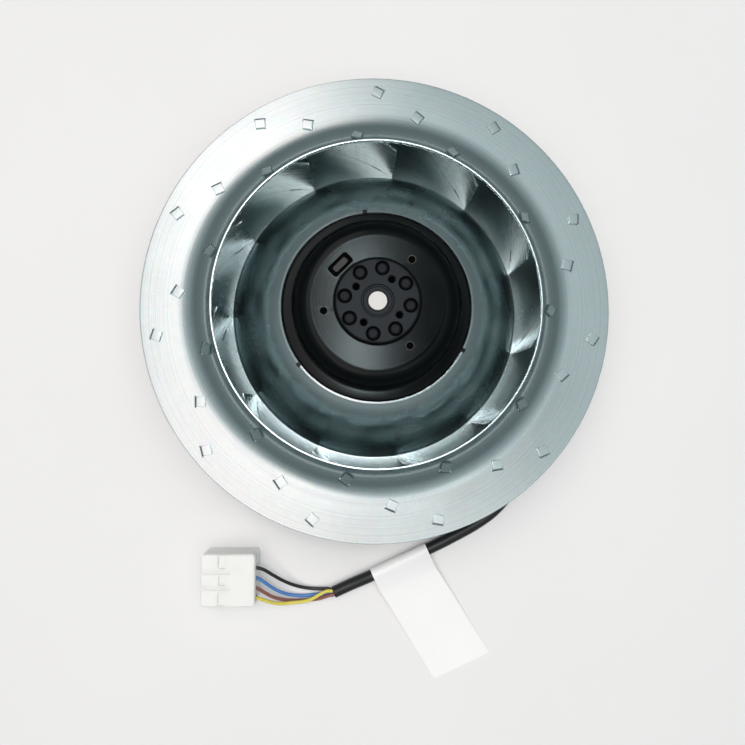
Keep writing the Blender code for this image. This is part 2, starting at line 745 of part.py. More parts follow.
def make_rivets():
    head_z = CENTRE_Z - POCKET_DEPTH + GAP
    tail_z = HUB_FLANGE_Z - HUB_FLANGE_H - GAP
    profile = [
        (0, head_z + RIVET_HEAD_H),
        (RIVET_HEAD_R, head_z + RIVET_HEAD_H),
        (RIVET_HEAD_R, head_z),
        (RIVET_R, head_z),
        (RIVET_R, tail_z),
        (RIVET_HEAD_R, tail_z),
        (RIVET_HEAD_R, tail_z - RIVET_HEAD_H),
        (0, tail_z - RIVET_HEAD_H),
    ]
    for index, azimuth in enumerate(rivet_azimuths()):
        rivet = turned(f"rotor_rivet_{index + 1}", profile, BLACK_PAINT, RIVET_SIDES, closed=False)
        rivet.location = polar(RIVET_CIRCLE_R, azimuth)


def make_shaft():
    top_z = CENTRE_Z - SHAFT_TOP
    groove_top = REAR_BEARING_Z - GAP + GROOVE_PLAY
    groove_low = groove_top - CIRCLIP_T - 2 * GROOVE_PLAY
    groove_r = SHAFT_R - CIRCLIP_DEPTH
    profile = [
        (0, top_z),
        (SHAFT_R - SHAFT_CHAMFER, top_z),
        (SHAFT_R, top_z - SHAFT_CHAMFER),
        (SHAFT_R, groove_top),
        (groove_r, groove_top),
        (groove_r, groove_low),
        (SHAFT_R, groove_low),
        (SHAFT_R, SHAFT_LOW_Z + SHAFT_CHAMFER),
        (SHAFT_R - SHAFT_CHAMFER, SHAFT_LOW_Z),
        (0, SHAFT_LOW_Z),
    ]
    turned("rotor_shaft", profile, BRIGHT_STEEL, RING_STEPS, closed=False)


def flat_piece(name, outlines, thickness, z, material):
    """A flat outline, with any holes in it, drawn as a filled curve and extruded."""
    curve = bpy.data.curves.new(name, "CURVE")
    curve.dimensions = "2D"
    curve.fill_mode = "BOTH"
    curve.extrude = thickness / 2
    for points in outlines:
        spline = curve.splines.new("POLY")
        spline.points.add(len(points) - 1)
        for point, (x, y) in zip(spline.points, points):
            point.co = (x, y, 0, 1)
        spline.use_cyclic_u = True
    piece = place(name, curve, material)
    piece.location.z = z
    return piece


def arc(radius, start, stop, count):
    """Points on a circle from one azimuth to another, both in degrees."""
    return [tuple(polar(radius, start + (stop - start) * i / count).xy) for i in range(count + 1)]


def make_circlip():
    inner_r = SHAFT_R - CIRCLIP_DEPTH + GAP
    start = CIRCLIP_OPENING
    stop = 360 - CIRCLIP_OPENING
    outline = arc(CIRCLIP_R, start, stop, 12) + arc(inner_r, stop, start, 10)
    flat_piece("shaft_retaining_ring", [outline], CIRCLIP_T, REAR_BEARING_Z - GAP - CIRCLIP_T / 2, BEARING_STEEL)


# Lamination stacks, cage and winding

def ring(name, inner_r, outer_r, low_z, high_z, material, steps):
    profile = [(outer_r, high_z), (outer_r, low_z), (inner_r, low_z), (inner_r, high_z)]
    return turned(name, profile, material, steps)


def make_rotor_core():
    ring("rotor_core", ROTOR_BORE_R, ROTOR_CORE_R, CORE_Z, CORE_Z + CORE_H, LAMINATION, CAN_STEPS)
    inner_r = ROTOR_CORE_R - CAGE_RING_W - GAP
    outer_r = ROTOR_CORE_R - GAP
    front_z = CORE_Z + CORE_H + GAP
    ring("cage_ring_front", inner_r, outer_r, front_z, front_z + CAGE_RING_H, CAST_ALLOY, CAN_STEPS)
    rear_z = CORE_Z - GAP
    ring("cage_ring_rear", inner_r, outer_r, rear_z - CAGE_RING_H, rear_z, CAST_ALLOY, CAN_STEPS)


def make_stator_core():
    """A disc with straight-sided slots that open through narrow mouths to the air gap."""
    pitch = 360 / SLOTS
    mouth = math.degrees(math.asin(SLOT_MOUTH / 2 / STATOR_R))
    side = [
        (SLOT_TOP_R + SLOT_LIP, SLOT_MOUTH / 2),
        (SLOT_TOP_R, SLOT_W / 2),
        (SLOT_LOW_R, SLOT_W / 2),
    ]
    slot_points = [Vector((x, -y)) for x, y in side] + [Vector((x, y)) for x, y in reversed(side)]
    outline = []
    for slot in range(SLOTS):
        turn = Matrix.Rotation(math.radians(slot * pitch), 2)
        outline += [tuple(turn @ point) for point in slot_points]
        outline += arc(STATOR_R, slot * pitch + mouth, (slot + 1) * pitch - mouth, 3)
    bore = arc(TUBE_R + GAP, 0, 360 - 360 / RING_STEPS, RING_STEPS - 1)
    flat_piece("stator_core", [outline, bore], CORE_H, CORE_Z + CORE_H / 2, LAMINATION)


def winding_head(name, low_z, collection):
    """A rounded ring of wire at one end of the stack."""
    high_z = low_z + WINDING_H
    profile = [
        (WINDING_TOP_R - WINDING_BEVEL, high_z),
        (WINDING_TOP_R, (low_z + high_z) / 2),
        (WINDING_TOP_R - WINDING_BEVEL, low_z),
        (WINDING_LOW_R + WINDING_BEVEL, low_z),
        (WINDING_LOW_R, (low_z + high_z) / 2),
        (WINDING_LOW_R + WINDING_BEVEL, high_z),
    ]
    return turned(name, profile, COPPER, WINDING_STEPS, collection=collection)


def make_winding():
    front_z = CORE_Z + CORE_H + GAP
    rear_z = CORE_Z - GAP - WINDING_H
    winding = winding_head("stator_winding", front_z, parts)
    rear_head = as_cutter(winding_head("winding_rear_head", rear_z, cutters))
    bars, shape = tool_mesh("winding_bars")
    low_r = SLOT_LOW_R + GAP
    high_r = SLOT_TOP_R - GAP
    low_z = rear_z + WINDING_H / 2
    high_z = front_z + WINDING_H / 2
    for slot in range(SLOTS):
        turn = Matrix.Rotation(math.tau * slot / SLOTS, 4, "Z")
        middle = Matrix.Translation(((low_r + high_r) / 2, 0, (low_z + high_z) / 2))
        add_box(shape, (high_r - low_r, SLOT_FILL, high_z - low_z), turn @ middle)
    fill(bars, shape)
    join(winding, bars)
    join(winding, rear_head)


def make_collars():
    inner_r = TUBE_R + GAP
    height = WINDING_H
    front_z = CORE_Z + CORE_H + GAP
    ring("winding_collar_front", inner_r, COLLAR_R, front_z, front_z + height, COLLAR_PLASTIC, RING_STEPS)
    rear_z = CORE_Z - GAP
    ring("winding_collar_rear", inner_r, COLLAR_R, rear_z - height, rear_z, COLLAR_PLASTIC, RING_STEPS)


# Bearings

def groove(edge_r, side, z):
    """Points of a ball groove in a ring's edge, down it; side is 1 for a groove that cuts outwards."""
    radius = BALL_R + GAP
    drop = abs(edge_r - BALL_CIRCLE_R)
    half = math.sqrt(radius**2 - drop**2)
    spread = math.atan2(half, drop)
    points = []
    for step in range(GROOVE_STEPS + 1):
        turn = spread - 2 * spread * step / GROOVE_STEPS
        points.append((BALL_CIRCLE_R + side * radius * math.cos(turn), z + radius * math.sin(turn)))
    return points


def make_bearing(name, low_z):
    high_z = low_z + BEARING_W
    middle_z = (low_z + high_z) / 2
    inner = [(RACE_IN_R, high_z)] + groove(RACE_IN_R, -1, middle_z)
    inner += [(RACE_IN_R, low_z), (SHAFT_BORE_R, low_z), (SHAFT_BORE_R, high_z)]
    turned(f"{name}_bearing_inner_ring", inner, BEARING_STEEL, RING_STEPS)
    outer = [(BEARING_R, high_z), (BEARING_R, low_z), (RACE_OUT_R, low_z)]
    outer += reversed(groove(RACE_OUT_R, 1, middle_z))
    outer.append((RACE_OUT_R, high_z))
    turned(f"{name}_bearing_outer_ring", outer, BEARING_STEEL, RING_STEPS)
    cage_in_r = RACE_IN_R + GAP
    cage_out_r = RACE_OUT_R - GAP
    low = middle_z - CAGE_T / 2
    cage = ring(f"{name}_bearing_balls", cage_in_r, cage_out_r, low, low + CAGE_T, BEARING_STEEL, RING_STEPS)
    balls, shape = tool_mesh(f"{name}_balls")
    for index in range(BALLS):
        at = Matrix.Translation(polar(BALL_CIRCLE_R, index * 360 / BALLS, middle_z))
        bmesh.ops.create_uvsphere(shape, u_segments=6, v_segments=4, radius=BALL_R, matrix=at)
    fill(balls, shape)
    join(cage, balls)


def make_wave_washer():
    """A spring ring that waves up and down between the bearing and its shoulder."""
    outer_r = BEARING_R - 2 * GAP
    shape = bmesh.new()
    rims = []
    for radius in (outer_r - WASHER_W, outer_r):
        rim = []
        for step in range(WASHER_STEPS):
            azimuth = 360 * step / WASHER_STEPS
            wave = WASHER_WAVE * math.sin(math.radians(azimuth * WASHER_WAVES))
            rim.append(shape.verts.new(polar(radius, azimuth, WASHER_Z + wave)))
        rims.append(rim)
    for step in range(WASHER_STEPS):
        after = (step + 1) % WASHER_STEPS
        shape.faces.new((rims[0][step], rims[1][step], rims[1][after], rims[0][after]))
    washer = place("bearing_wave_washer", bpy.data.meshes.new("washer"), BEARING_STEEL)
    fill(washer, shape)
    thicken(washer, WASHER_T, 0)


# Stator flange with the bearing tube, and what closes it

def make_flange():
    profile = [
        (TUBE_R, TUBE_TOP_Z),
        (TUBE_R, FLANGE_H + TUBE_ROOT),
        (TUBE_R + TUBE_ROOT, FLANGE_H),
        (FLANGE_R - FLANGE_CHAMFER, FLANGE_H),
        (FLANGE_R, FLANGE_H - FLANGE_CHAMFER),
        (FLANGE_R, 0),
        (BEARING_BORE_R, 0),
        (BEARING_BORE_R, SHOULDER_Z),
        (TUBE_SHOULDER_R, SHOULDER_Z),
        (TUBE_SHOULDER_R, FRONT_SEAT_Z),
        (BEARING_BORE_R, FRONT_SEAT_Z),
        (BEARING_BORE_R, TUBE_TOP_Z),
    ]
    flange = turned("stator_flange", profile, CAST_ALLOY, FLANGE_STEPS)
    tool, shape = tool_mesh("flange_holes")
    for index in range(M4_HOLES):
        at = polar(M4_CIRCLE_R, M4_PHASE + index * 360 / M4_HOLES, (M4_DEPTH - BEYOND) / 2)
        add_rod(shape, M4_CORE_R, M4_DEPTH + BEYOND, Matrix.Translation(at), 10)
    socket = GLAND_STEM + GAP + BEYOND
    turn = Matrix.Rotation(math.radians(EXIT_AZIMUTH), 4, "Z")
    middle = Matrix.Translation((FLANGE_R + BEYOND - socket / 2, 0, GLAND_Z))
    lying = Matrix.Rotation(math.radians(90), 4, "Y")
    add_rod(shape, GLAND_STEM_R + GAP, socket, turn @ middle @ lying, GLAND_STEPS)
    fill(tool, shape)
    cut(flange, tool)


def make_dust_cap():
    """A cup pressed into the bore up to the rear bearing's outer ring."""
    outer_r = BEARING_BORE_R - GAP
    inner_r = outer_r - CAP_SKIRT
    high_z = REAR_BEARING_Z - GAP
    profile = [
        (0, CAP_INSET + CAP_T),
        (inner_r, CAP_INSET + CAP_T),
        (inner_r, high_z),
        (outer_r, high_z),
        (outer_r, CAP_INSET),
        (0, CAP_INSET),
    ]
    turned("rear_dust_cap", profile, DARK_PLASTIC, RING_STEPS, closed=False)


# Lead

def gland_end():
    """The tip of the gland, where the sleeve leaves it."""
    reach = FLANGE_R + GAP + GLAND_COLLAR_T + GLAND_TAPER
    return polar(reach, EXIT_AZIMUTH, GLAND_Z)


def make_gland():
    """A stem in the flange, a collar on its side and a tapered sleeve over the lead."""
    face = FLANGE_R + GAP
    stops = [
        (GLAND_STEM_R, face - GLAND_STEM),
        (GLAND_STEM_R, face),
        (GLAND_COLLAR_R, face),
        (GLAND_COLLAR_R, face + GLAND_COLLAR_T),
        (GLAND_ROOT_R, face + GLAND_COLLAR_T),
        (GLAND_TIP_R, face + GLAND_COLLAR_T + GLAND_TAPER),
    ]
    profile = [(0, stops[-1][1])] + stops[::-1] + [(0, stops[0][1])]
    gland = turned("cable_gland", profile, DARK_PLASTIC, GLAND_STEPS, closed=False)
    turn = Matrix.Rotation(math.radians(EXIT_AZIMUTH), 4, "Z")
    lying = Matrix.Rotation(math.radians(90), 4, "Y")
    gland.matrix_world = Matrix.Translation((0, 0, GLAND_Z)) @ turn @ lying


def spread_points(points, pitch):
    """Points at an even pitch along a smooth curve through the given points."""
    ends = [points[0] * 2 - points[1]] + points + [points[-1] * 2 - points[-2]]
    dense = []
    for i in range(len(points) - 1):
        before, start, stop, after = ends[i:i + 4]
        for step in range(24):
            t = step / 24
            bend = 2 * before - 5 * start + 4 * stop - after
            twist = -before + 3 * start - 3 * stop + after
            dense.append(0.5 * (2 * start + (stop - before) * t + bend * t**2 + twist * t**3))
    dense.append(points[-1])
    lengths = [0.0]
    for start, stop in zip(dense, dense[1:]):
        lengths.append(lengths[-1] + (stop - start).length)
    count = max(2, round(lengths[-1] / pitch))
    spread = []
    place_at = 0
    for index in range(count + 1):
        wanted = lengths[-1] * index / count
        while place_at < len(lengths) - 2 and lengths[place_at + 1] < wanted:
            place_at += 1
        share = (wanted - lengths[place_at]) / (lengths[place_at + 1] - lengths[place_at])
        spread.append(dense[place_at].lerp(dense[place_at + 1], min(1, share)))
    return spread


def tube(name, points, radius, pitch, material, resolution=2):
    """A cord as a round tube with closed ends."""
    curve = bpy.data.curves.new(name, "CURVE")
    curve.dimensions = "3D"
    curve.bevel_depth = radius
    curve.bevel_resolution = resolution
    curve.use_fill_caps = True
    spline = curve.splines.new("POLY")
    along = spread_points(points, pitch)
    spline.points.add(len(along) - 1)
    for point, at in zip(spline.points, along):
        point.co = (*at, 1)
    return place(name, curve, material)


def route(points):
    return [Vector(point) * mm for point in points]


def make_lead():
    leaving = polar(1, EXIT_AZIMUTH)
    start = gland_end() + leaving * GAP
    tube("cable_sleeve", [start] + route(SLEEVE_ROUTE), SLEEVE_R, CORD_PITCH, SLEEVE_PVC)
    for name, points in WIRE_ROUTES.items():
        tube(name, route(points), WIRE_R, WIRE_PITCH, WIRE_COLOURS[name])


def way_places():
    """Where the connector's cavities lie, from the far side to the near side."""
    middle = CONNECTOR_LOW[1] + CONNECTOR_W / 2
    return [middle + (WAYS - 1) / 2 * WAY_PITCH - i * WAY_PITCH for i in range(WAYS)]


def make_connector():
    low_x, low_y = CONNECTOR_LOW
    centre = Vector((low_x + CONNECTOR_L / 2, low_y + CONNECTOR_W / 2, CONNECTOR_H / 2))
    housing = place("connector_housing", bpy.data.meshes.new("housing"), NYLON)
    shape = bmesh.new()
    add_box(shape, (CONNECTOR_L, CONNECTOR_W, CONNECTOR_H), Matrix.Translation(centre))
    bmesh.ops.bevel(shape, geom=shape.edges[:], offset=CONNECTOR_EDGE, segments=1, affect="EDGES")
    fill(housing, shape)
    tool, shape = tool_mesh("connector_cuts")
    lying = Matrix.Rotation(math.radians(90), 4, "Y")
    for y in way_places():
        at = Matrix.Translation((centre.x, y, WAY_Z))
        add_rod(shape, WAY_R, CONNECTOR_L + 2 * BEYOND, at @ lying, 8)
    fill(tool, shape)
    cut(housing, tool)
    grooves, shape = tool_mesh("connector_grooves")
    pocket_h = BLOCK_POCKET_DEPTH + BEYOND
    slot_h = LATCH_SLOT_DEPTH + BEYOND
    pocket_w = (CONNECTOR_W - LATCH_W) / 2 - LATCH_SLOT - CONNECTOR_RIB - CONNECTOR_EDGE
    pocket_x = low_x + BLOCK_L + BLOCK_POCKET / 2
    slot_x = low_x + (LATCH_L - BEYOND) / 2
    for side in (-1, 1):
        pocket_y = centre.y + side * (CONNECTOR_W / 2 - CONNECTOR_EDGE - pocket_w / 2)
        pocket = Matrix.Translation((pocket_x, pocket_y, CONNECTOR_H - BLOCK_POCKET_DEPTH + pocket_h / 2))
        add_box(shape, (BLOCK_POCKET, pocket_w, pocket_h), pocket)
        slot_y = centre.y + side * (LATCH_W + LATCH_SLOT) / 2
        slot = Matrix.Translation((slot_x, slot_y, CONNECTOR_H - LATCH_SLOT_DEPTH + slot_h / 2))
        add_box(shape, (LATCH_L + BEYOND, LATCH_SLOT, slot_h), slot)
    fill(grooves, shape)
    cut(housing, grooves)


def make_contacts():
    """A crimp contact in front of each wire; the first cavity is empty."""
    lying = Matrix.Rotation(math.radians(90), 4, "Y")
    wire_end_x = list(WIRE_ROUTES.values())[0][-1][0] * mm
    for index, y in enumerate(way_places()[1:]):
        contact = place(f"connector_contact_{index + 1}", bpy.data.meshes.new("contact"), TIN)
        shape = bmesh.new()
        at = Matrix.Translation((wire_end_x - GAP - CONTACT_L / 2, y, WAY_Z))
        add_rod(shape, CONTACT_R, CONTACT_L, at @ lying, 8)
        fill(contact, shape)


def make_label():
    """A strip folded round the sleeve, its two halves stuck together behind the fold."""
    hole_r = SLEEVE_R + LABEL_SLACK
    loop_r = hole_r + LABEL_T
    joint = loop_r + LABEL_NECK
    fall = LABEL_AT[2] - LABEL_FAR_Z
    upper = []
    lower = []
    for step in range(9):
        share = step / 8
        along = joint + (LABEL_TAIL - joint) * share
        height = -fall * (1 - (1 - share) ** 2.2)
        upper.append((along, height + LABEL_T / 2))
        lower.append((along, height - LABEL_T / 2))
    outline = [*reversed(upper), *arc(loop_r, 50, 310, 12), *lower]
    shape = bmesh.new()
    side = shape.faces.new([shape.verts.new((x, LABEL_W / 2, z)) for x, z in outline])
    swept = bmesh.ops.extrude_face_region(shape, geom=[side])
    far_verts = [item for item in swept["geom"] if isinstance(item, bmesh.types.BMVert)]
    bmesh.ops.translate(shape, verts=far_verts, vec=(0, -LABEL_W, 0))
    for vert in shape.verts:
        vert.co.y += max(0, vert.co.x - joint) * math.tan(math.radians(LABEL_SKEW))
    bmesh.ops.recalc_face_normals(shape, faces=shape.faces)
    label = place("flag_label", bpy.data.meshes.new("label"), LABEL_VINYL)
    fill(label, shape)
    label.location = LABEL_AT
    label.rotation_euler.z = math.radians(LABEL_TURN)
    tool, shape = tool_mesh("label_hole")
    turn = Matrix.Rotation(math.radians(LABEL_TURN), 4, "Z")
    lying = Matrix.Rotation(math.radians(90), 4, "X")
    add_rod(shape, hole_r, LABEL_W + 2 * BEYOND, Matrix.Translation(LABEL_AT) @ turn @ lying, 12)
    fill(tool, shape)
    cut(label, tool)


make_shroud()
make_back_plate()
make_blades()
make_can()
make_hub()
make_rivets()
make_shaft()
make_circlip()
make_rotor_core()
make_stator_core()
make_winding()
make_collars()
make_bearing("rear", REAR_BEARING_Z)
make_bearing("front", FRONT_BEARING_Z)
make_wave_washer()
make_flange()
make_dust_cap()
make_gland()
make_lead()
make_connector()
make_contacts()
make_label()
settle([piece for piece in parts.objects if piece.type == "MESH"])
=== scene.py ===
"""The motorized impeller, dressed for looks: a sheet-metal fan wheel on an external-rotor motor."""

import math
from functools import partial

import bmesh
import bpy
from mathutils import Matrix, Vector


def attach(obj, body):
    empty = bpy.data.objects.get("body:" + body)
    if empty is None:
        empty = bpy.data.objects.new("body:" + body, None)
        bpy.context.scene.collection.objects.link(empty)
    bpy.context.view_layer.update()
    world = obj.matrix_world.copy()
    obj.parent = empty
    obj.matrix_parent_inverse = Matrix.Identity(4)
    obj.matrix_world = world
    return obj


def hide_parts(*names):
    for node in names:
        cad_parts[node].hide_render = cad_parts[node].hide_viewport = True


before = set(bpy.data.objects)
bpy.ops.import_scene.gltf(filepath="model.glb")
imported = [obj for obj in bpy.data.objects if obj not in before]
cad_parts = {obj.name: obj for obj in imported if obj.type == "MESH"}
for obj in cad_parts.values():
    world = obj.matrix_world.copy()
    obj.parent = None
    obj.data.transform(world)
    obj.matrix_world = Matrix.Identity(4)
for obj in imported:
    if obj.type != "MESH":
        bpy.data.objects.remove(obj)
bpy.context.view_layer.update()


# Camera
# A hand-held camera looks down on the fan from almost straight above, a little on the lead's side.
# The distances are millimetres times MM, in the frame that the solids use.

MM = 0.001
CAMERA_AT = (-9.31 * MM, -47.95 * MM, 329.93 * MM)
CAMERA_TILT = (3.3095, -1.6827)

lens = bpy.data.cameras.new("camera")
lens.lens = 29.96
lens.sensor_width = 36
lens.shift_x = -0.0034
lens.shift_y = 0.0007
lens.clip_start = 10 * MM
camera = bpy.data.objects.new("camera", lens)
bpy.context.scene.collection.objects.link(camera)
tilt_x = Matrix.Rotation(math.radians(CAMERA_TILT[0]), 4, "X")
tilt_y = Matrix.Rotation(math.radians(CAMERA_TILT[1]), 4, "Y")
camera.matrix_world = Matrix.Translation(CAMERA_AT) @ tilt_x @ tilt_y
bpy.context.scene.camera = camera
bpy.context.scene.view_settings.view_transform = "Standard"


# Table and light
# A pale matt table top fills the view. A long soft panel hangs to the left over the fan and a narrow strip
# above it, with a dimmer panel in front; a broad fill light, which bare metal doesn't mirror, evens them out.
# The room is grey, lighter towards the ceiling and dark straight overhead.

def linear(hex_colour):
    """An sRGB hex colour as the linear colour that a shader takes."""
    channels = []
    for start in (1, 3, 5):
        value = int(hex_colour[start:start + 2], 16) / 255
        channels.append(value / 12.92 if value <= 0.04045 else ((value + 0.055) / 1.055) ** 2.4)
    return (*channels, 1)


def add_node(tree, kind, settings=None, sockets=None):
    """Adds a node, sets its settings, and fills its sockets with values, outputs or other nodes."""
    node = tree.nodes.new("ShaderNode" + kind)
    for name, value in (settings or {}).items():
        setattr(node, name, value)
    for name, value in (sockets or {}).items():
        if isinstance(value, (bpy.types.Node, bpy.types.NodeSocket)):
            join(value, node.inputs[name])
        else:
            node.inputs[name].default_value = value
    return node


def join(source, socket):
    """Links an output, or a node's first live output, to an input socket."""
    if isinstance(source, bpy.types.Node):
        source = next(output for output in source.outputs if output.enabled)
    socket.id_data.links.new(source, socket)


def new_material(name, colour, metallic, roughness):
    """A plain material, its own add_node, its shader, and the place that a pattern follows."""
    material = bpy.data.materials.new(name)
    material.use_nodes = True
    node = partial(add_node, material.node_tree)
    shader = material.node_tree.nodes["Principled BSDF"]
    shader.inputs["Base Color"].default_value = linear(colour)
    shader.inputs["Metallic"].default_value = metallic
    shader.inputs["Roughness"].default_value = roughness
    return material, node, shader, node("TexCoord").outputs["Object"]


def feed(shader, **patterns):
    """Links patterns to the shader's sockets of the same names."""
    for name, pattern in patterns.items():
        join(pattern, shader.inputs[name.replace("_", " ")])


def patterned(name, colour, metallic, roughness, pattern, tones=None, gloss=None, relief=None, stretch=None):
    """A material with one cloudy pattern that shades it, varies its gloss or raises its skin."""
    material, node, shader, place = new_material(name, colour, metallic, roughness)
    vector = place
    if stretch:
        vector = node("Mapping", sockets={"Vector": place, "Scale": stretch})
    cloud = node("TexNoise", sockets={"Vector": vector, **pattern})
    if tones:
        tone = node("Mix", {"data_type": "RGBA"}, {
            "Factor": cloud, "A": linear(tones[0]), "B": linear(tones[1])})
        feed(shader, Base_Color=tone)
    if gloss:
        spread = node("MapRange", sockets={"Value": cloud, "To Min": gloss[0], "To Max": gloss[1]})
        feed(shader, Roughness=spread)
    if relief:
        skin = node("Bump", sockets={"Height": cloud, "Strength": relief[0], "Distance": relief[1] * MM})
        feed(shader, Normal=skin)
    return material, node, shader, place, cloud


FLOOR_HALF = 3.0
FLOOR_DROP = 0.05 * MM

bpy.ops.object.select_all(action="DESELECT")
bpy.ops.mesh.primitive_plane_add(size=2 * FLOOR_HALF, location=(0, 0, -FLOOR_DROP))
floor = bpy.context.object
floor.name = "table_top"
laminate = patterned("matt_white_laminate", "#E9E9E8", 0, 0.7, {"Scale": 9.0, "Detail": 3.0},
                     ("#E7E7E6", "#EBEBEA"))[0]
floor.data.materials.append(laminate)


def soft_panel(name, at, size, radiance, tone, mirrored=True):
    """A rectangular soft light that faces straight down, its place and size in metres."""
    panel = bpy.data.lights.new(name, "AREA")
    panel.shape = "RECTANGLE"
    panel.size, panel.size_y = size
    panel.energy = radiance * math.pi * size[0] * size[1]
    panel.color = linear(tone)[:3]
    lamp = bpy.data.objects.new(name, panel)
    lamp.location = at
    lamp.visible_glossy = mirrored
    bpy.context.scene.collection.objects.link(lamp)


soft_panel("long_panel", (-0.36, 0.22, 1.50), (0.56, 2.20), 1.55, "#FFE4DF")
soft_panel("overhead_strip", (-0.012, 0.16, 1.50), (0.11, 0.56), 28.0, "#FDFEFF")
soft_panel("front_panel", (0.12, -0.44, 1.50), (0.70, 0.50), 0.9, "#FFF2EF")
soft_panel("fill_panel", (0, 0, 1.60), (2.20, 2.20), 0.85, "#FFFFFF", mirrored=False)

room = bpy.data.worlds.new("room")
room.use_nodes = True
bpy.context.scene.world = room
node = partial(add_node, room.node_tree)
background = room.node_tree.nodes["Background"]
facing = node("TexCoord").outputs["Generated"]
height = node("SeparateXYZ", sockets={0: facing}).outputs["Z"]
walls = node("ValToRGB", sockets={"Fac": height})
ROOM_TONES = ((0.0, "#878E90"), (0.3, "#7D8587"), (0.6, "#6C7577"), (0.85, "#B4BDBF"), (0.93, "#EEF3F4"),
              (0.950, "#DDE5E7"), (0.966, "#303334"))
while len(walls.color_ramp.elements) < len(ROOM_TONES):
    walls.color_ramp.elements.new(0.5)
for element, (position, tone) in zip(walls.color_ramp.elements, ROOM_TONES):
    element.position = position
    element.color = linear(tone)
seen = node("LightPath").outputs["Is Camera Ray"]
air = node("Mix", {"data_type": "RGBA"}, {"Factor": seen, "A": walls, "B": linear("#FFFFFF")})
feed(background, Color=air)


# Stator flange
# The foot that the whole fan stands on and is screwed down by: a die-cast aluminium disc with the bearing
# tube on it, bored for two bearings, with four tapped holes in its turned mounting face.

FLANGE_R = 45
FLANGE_H = 10.4
TUBE_R = 14
TUBE_TOP = 44.0
BEARING_BORE_R = 12.3
SHOULDER_BORE_R = 10.3
REAR_SEAT_Z = 15.9
FRONT_SEAT_Z = 36.7
TAP_CIRCLE_R = 31
TAP_CORE_R = 1.65
TAP_DEPTH = 8
GLAND_Z = 5.4
GLAND_HOLE_R = 3.9
GLAND_HOLE_L = 9.3
EXIT_AZIMUTH = -35
MERGE = 0.002 * MM
SOFT_EDGE_ANGLE = math.radians(32)

bpy.context.scene.tool_settings.mesh_select_mode = (True, False, False)


def add_shape(kind):
    """Adds a small primitive at the origin, with nothing else selected."""
    bpy.ops.object.select_all(action="DESELECT")
    getattr(bpy.ops.mesh, f"primitive_{kind}_add")(size=MM)
    return bpy.context.object


def start_line(name, at):
    """A new piece of one vertex, in edit mode; the place is in millimetres."""
    piece = add_shape("plane")
    piece.name = piece.data.name = name
    bpy.ops.object.mode_set(mode="EDIT")
    bpy.ops.mesh.merge(type="CENTER")
    bpy.ops.transform.translate(value=Vector(at) * MM)
    return piece


def draw_line(points):
    """Extrudes the selected vertex from point to point, in millimetres."""
    for here, there in zip(points, points[1:]):
        step = (Vector(there) - Vector(here)) * MM
        bpy.ops.mesh.extrude_region_move(TRANSFORM_OT_translate={"value": step})


def close_shape():
    """Merges what lies on itself, turns the faces one way and leaves edit mode."""
    bpy.ops.mesh.select_all(action="SELECT")
    bpy.ops.mesh.remove_doubles(threshold=MERGE)
    bpy.ops.mesh.normals_make_consistent(inside=False)
    bpy.ops.object.mode_set(mode="OBJECT")


def turn(name, profile, steps, closed=False):
    """A turned piece: a line of (radius, height) in millimetres, spun about the fan's axis."""
    points = [(radius, 0, height) for radius, height in profile]
    if closed:
        points.append(points[0])
    piece = start_line(name, points[0])
    draw_line(points)
    bpy.ops.mesh.select_all(action="SELECT")
    bpy.ops.mesh.spin(steps=steps, angle=2 * math.pi, center=(0, 0, 0), axis=(0, 0, 1))
    close_shape()
    return piece


def modify(piece, kind, **settings):
    """Adds a modifier and applies it at once."""
    modifier = piece.modifiers.new(kind.lower(), kind)
    for name, value in settings.items():
        setattr(modifier, name, value)
    bpy.context.view_layer.objects.active = piece
    bpy.ops.object.modifier_apply(modifier=modifier.name)


def soften(piece, width, segments=2):
    """Rounds a piece's sharp edges by a width in millimetres."""
    modify(piece, "BEVEL", limit_method="ANGLE", angle_limit=SOFT_EDGE_ANGLE, width=width * MM,
           segments=segments, use_clamp_overlap=True)


def start_tool():
    """An empty mesh in edit mode, for the shapes that will be cut away."""
    tool = add_shape("plane")
    bpy.ops.object.mode_set(mode="EDIT")
    bpy.ops.mesh.delete(type="VERT")
    return tool


def polar(radius, azimuth, height=0.0):
    """A place in metres from a radius and height in millimetres and an azimuth in degrees."""
    turned = math.radians(azimuth)
    return Vector((radius * math.cos(turned), radius * math.sin(turned), height)) * MM


def drill(radius, depth, at, azimuth=None, sides=32):
    """Adds a round cutter to the tool; with an azimuth it lies flat, pointing that way."""
    lying = (0, math.radians(90), math.radians(azimuth)) if azimuth is not None else (0, 0, 0)
    bpy.ops.mesh.primitive_cylinder_add(vertices=sides, radius=radius * MM, depth=depth * MM, location=at,
                                        rotation=lying)


def carve(piece, tool, operation="DIFFERENCE"):
    """Cuts the tool out of a piece, or adds it on, and deletes the tool."""
    if bpy.context.object and bpy.context.object.mode == "EDIT":
        bpy.ops.object.mode_set(mode="OBJECT")
    modify(piece, "BOOLEAN", operation=operation, object=tool, solver="EXACT", material_mode="TRANSFER")
    bpy.data.objects.remove(tool, do_unlink=True)


def pick(piece):
    """Selects one piece alone and makes it active."""
    bpy.ops.object.select_all(action="DESELECT")
    piece.select_set(True)
    bpy.context.view_layer.objects.active = piece


def open_all(piece):
    """Opens a piece in edit mode with all of it selected."""
    bpy.context.view_layer.objects.active = piece
    bpy.ops.object.mode_set(mode="EDIT")
    bpy.ops.mesh.select_all(action="SELECT")


def place_at(piece, place):
    """Moves a piece's mesh to a place, given as a matrix, and leaves the object at the origin."""
    pick(piece)
    piece.matrix_world = place
    bpy.ops.object.transform_apply(location=True, rotation=True, scale=True)


def copy_to(form, name, place):
    """A copy of a form, with its own mesh, at a place given as a matrix."""
    pick(form)
    bpy.ops.object.duplicate()
    copy = bpy.context.object
    copy.name = name
    place_at(copy, place)
    return copy


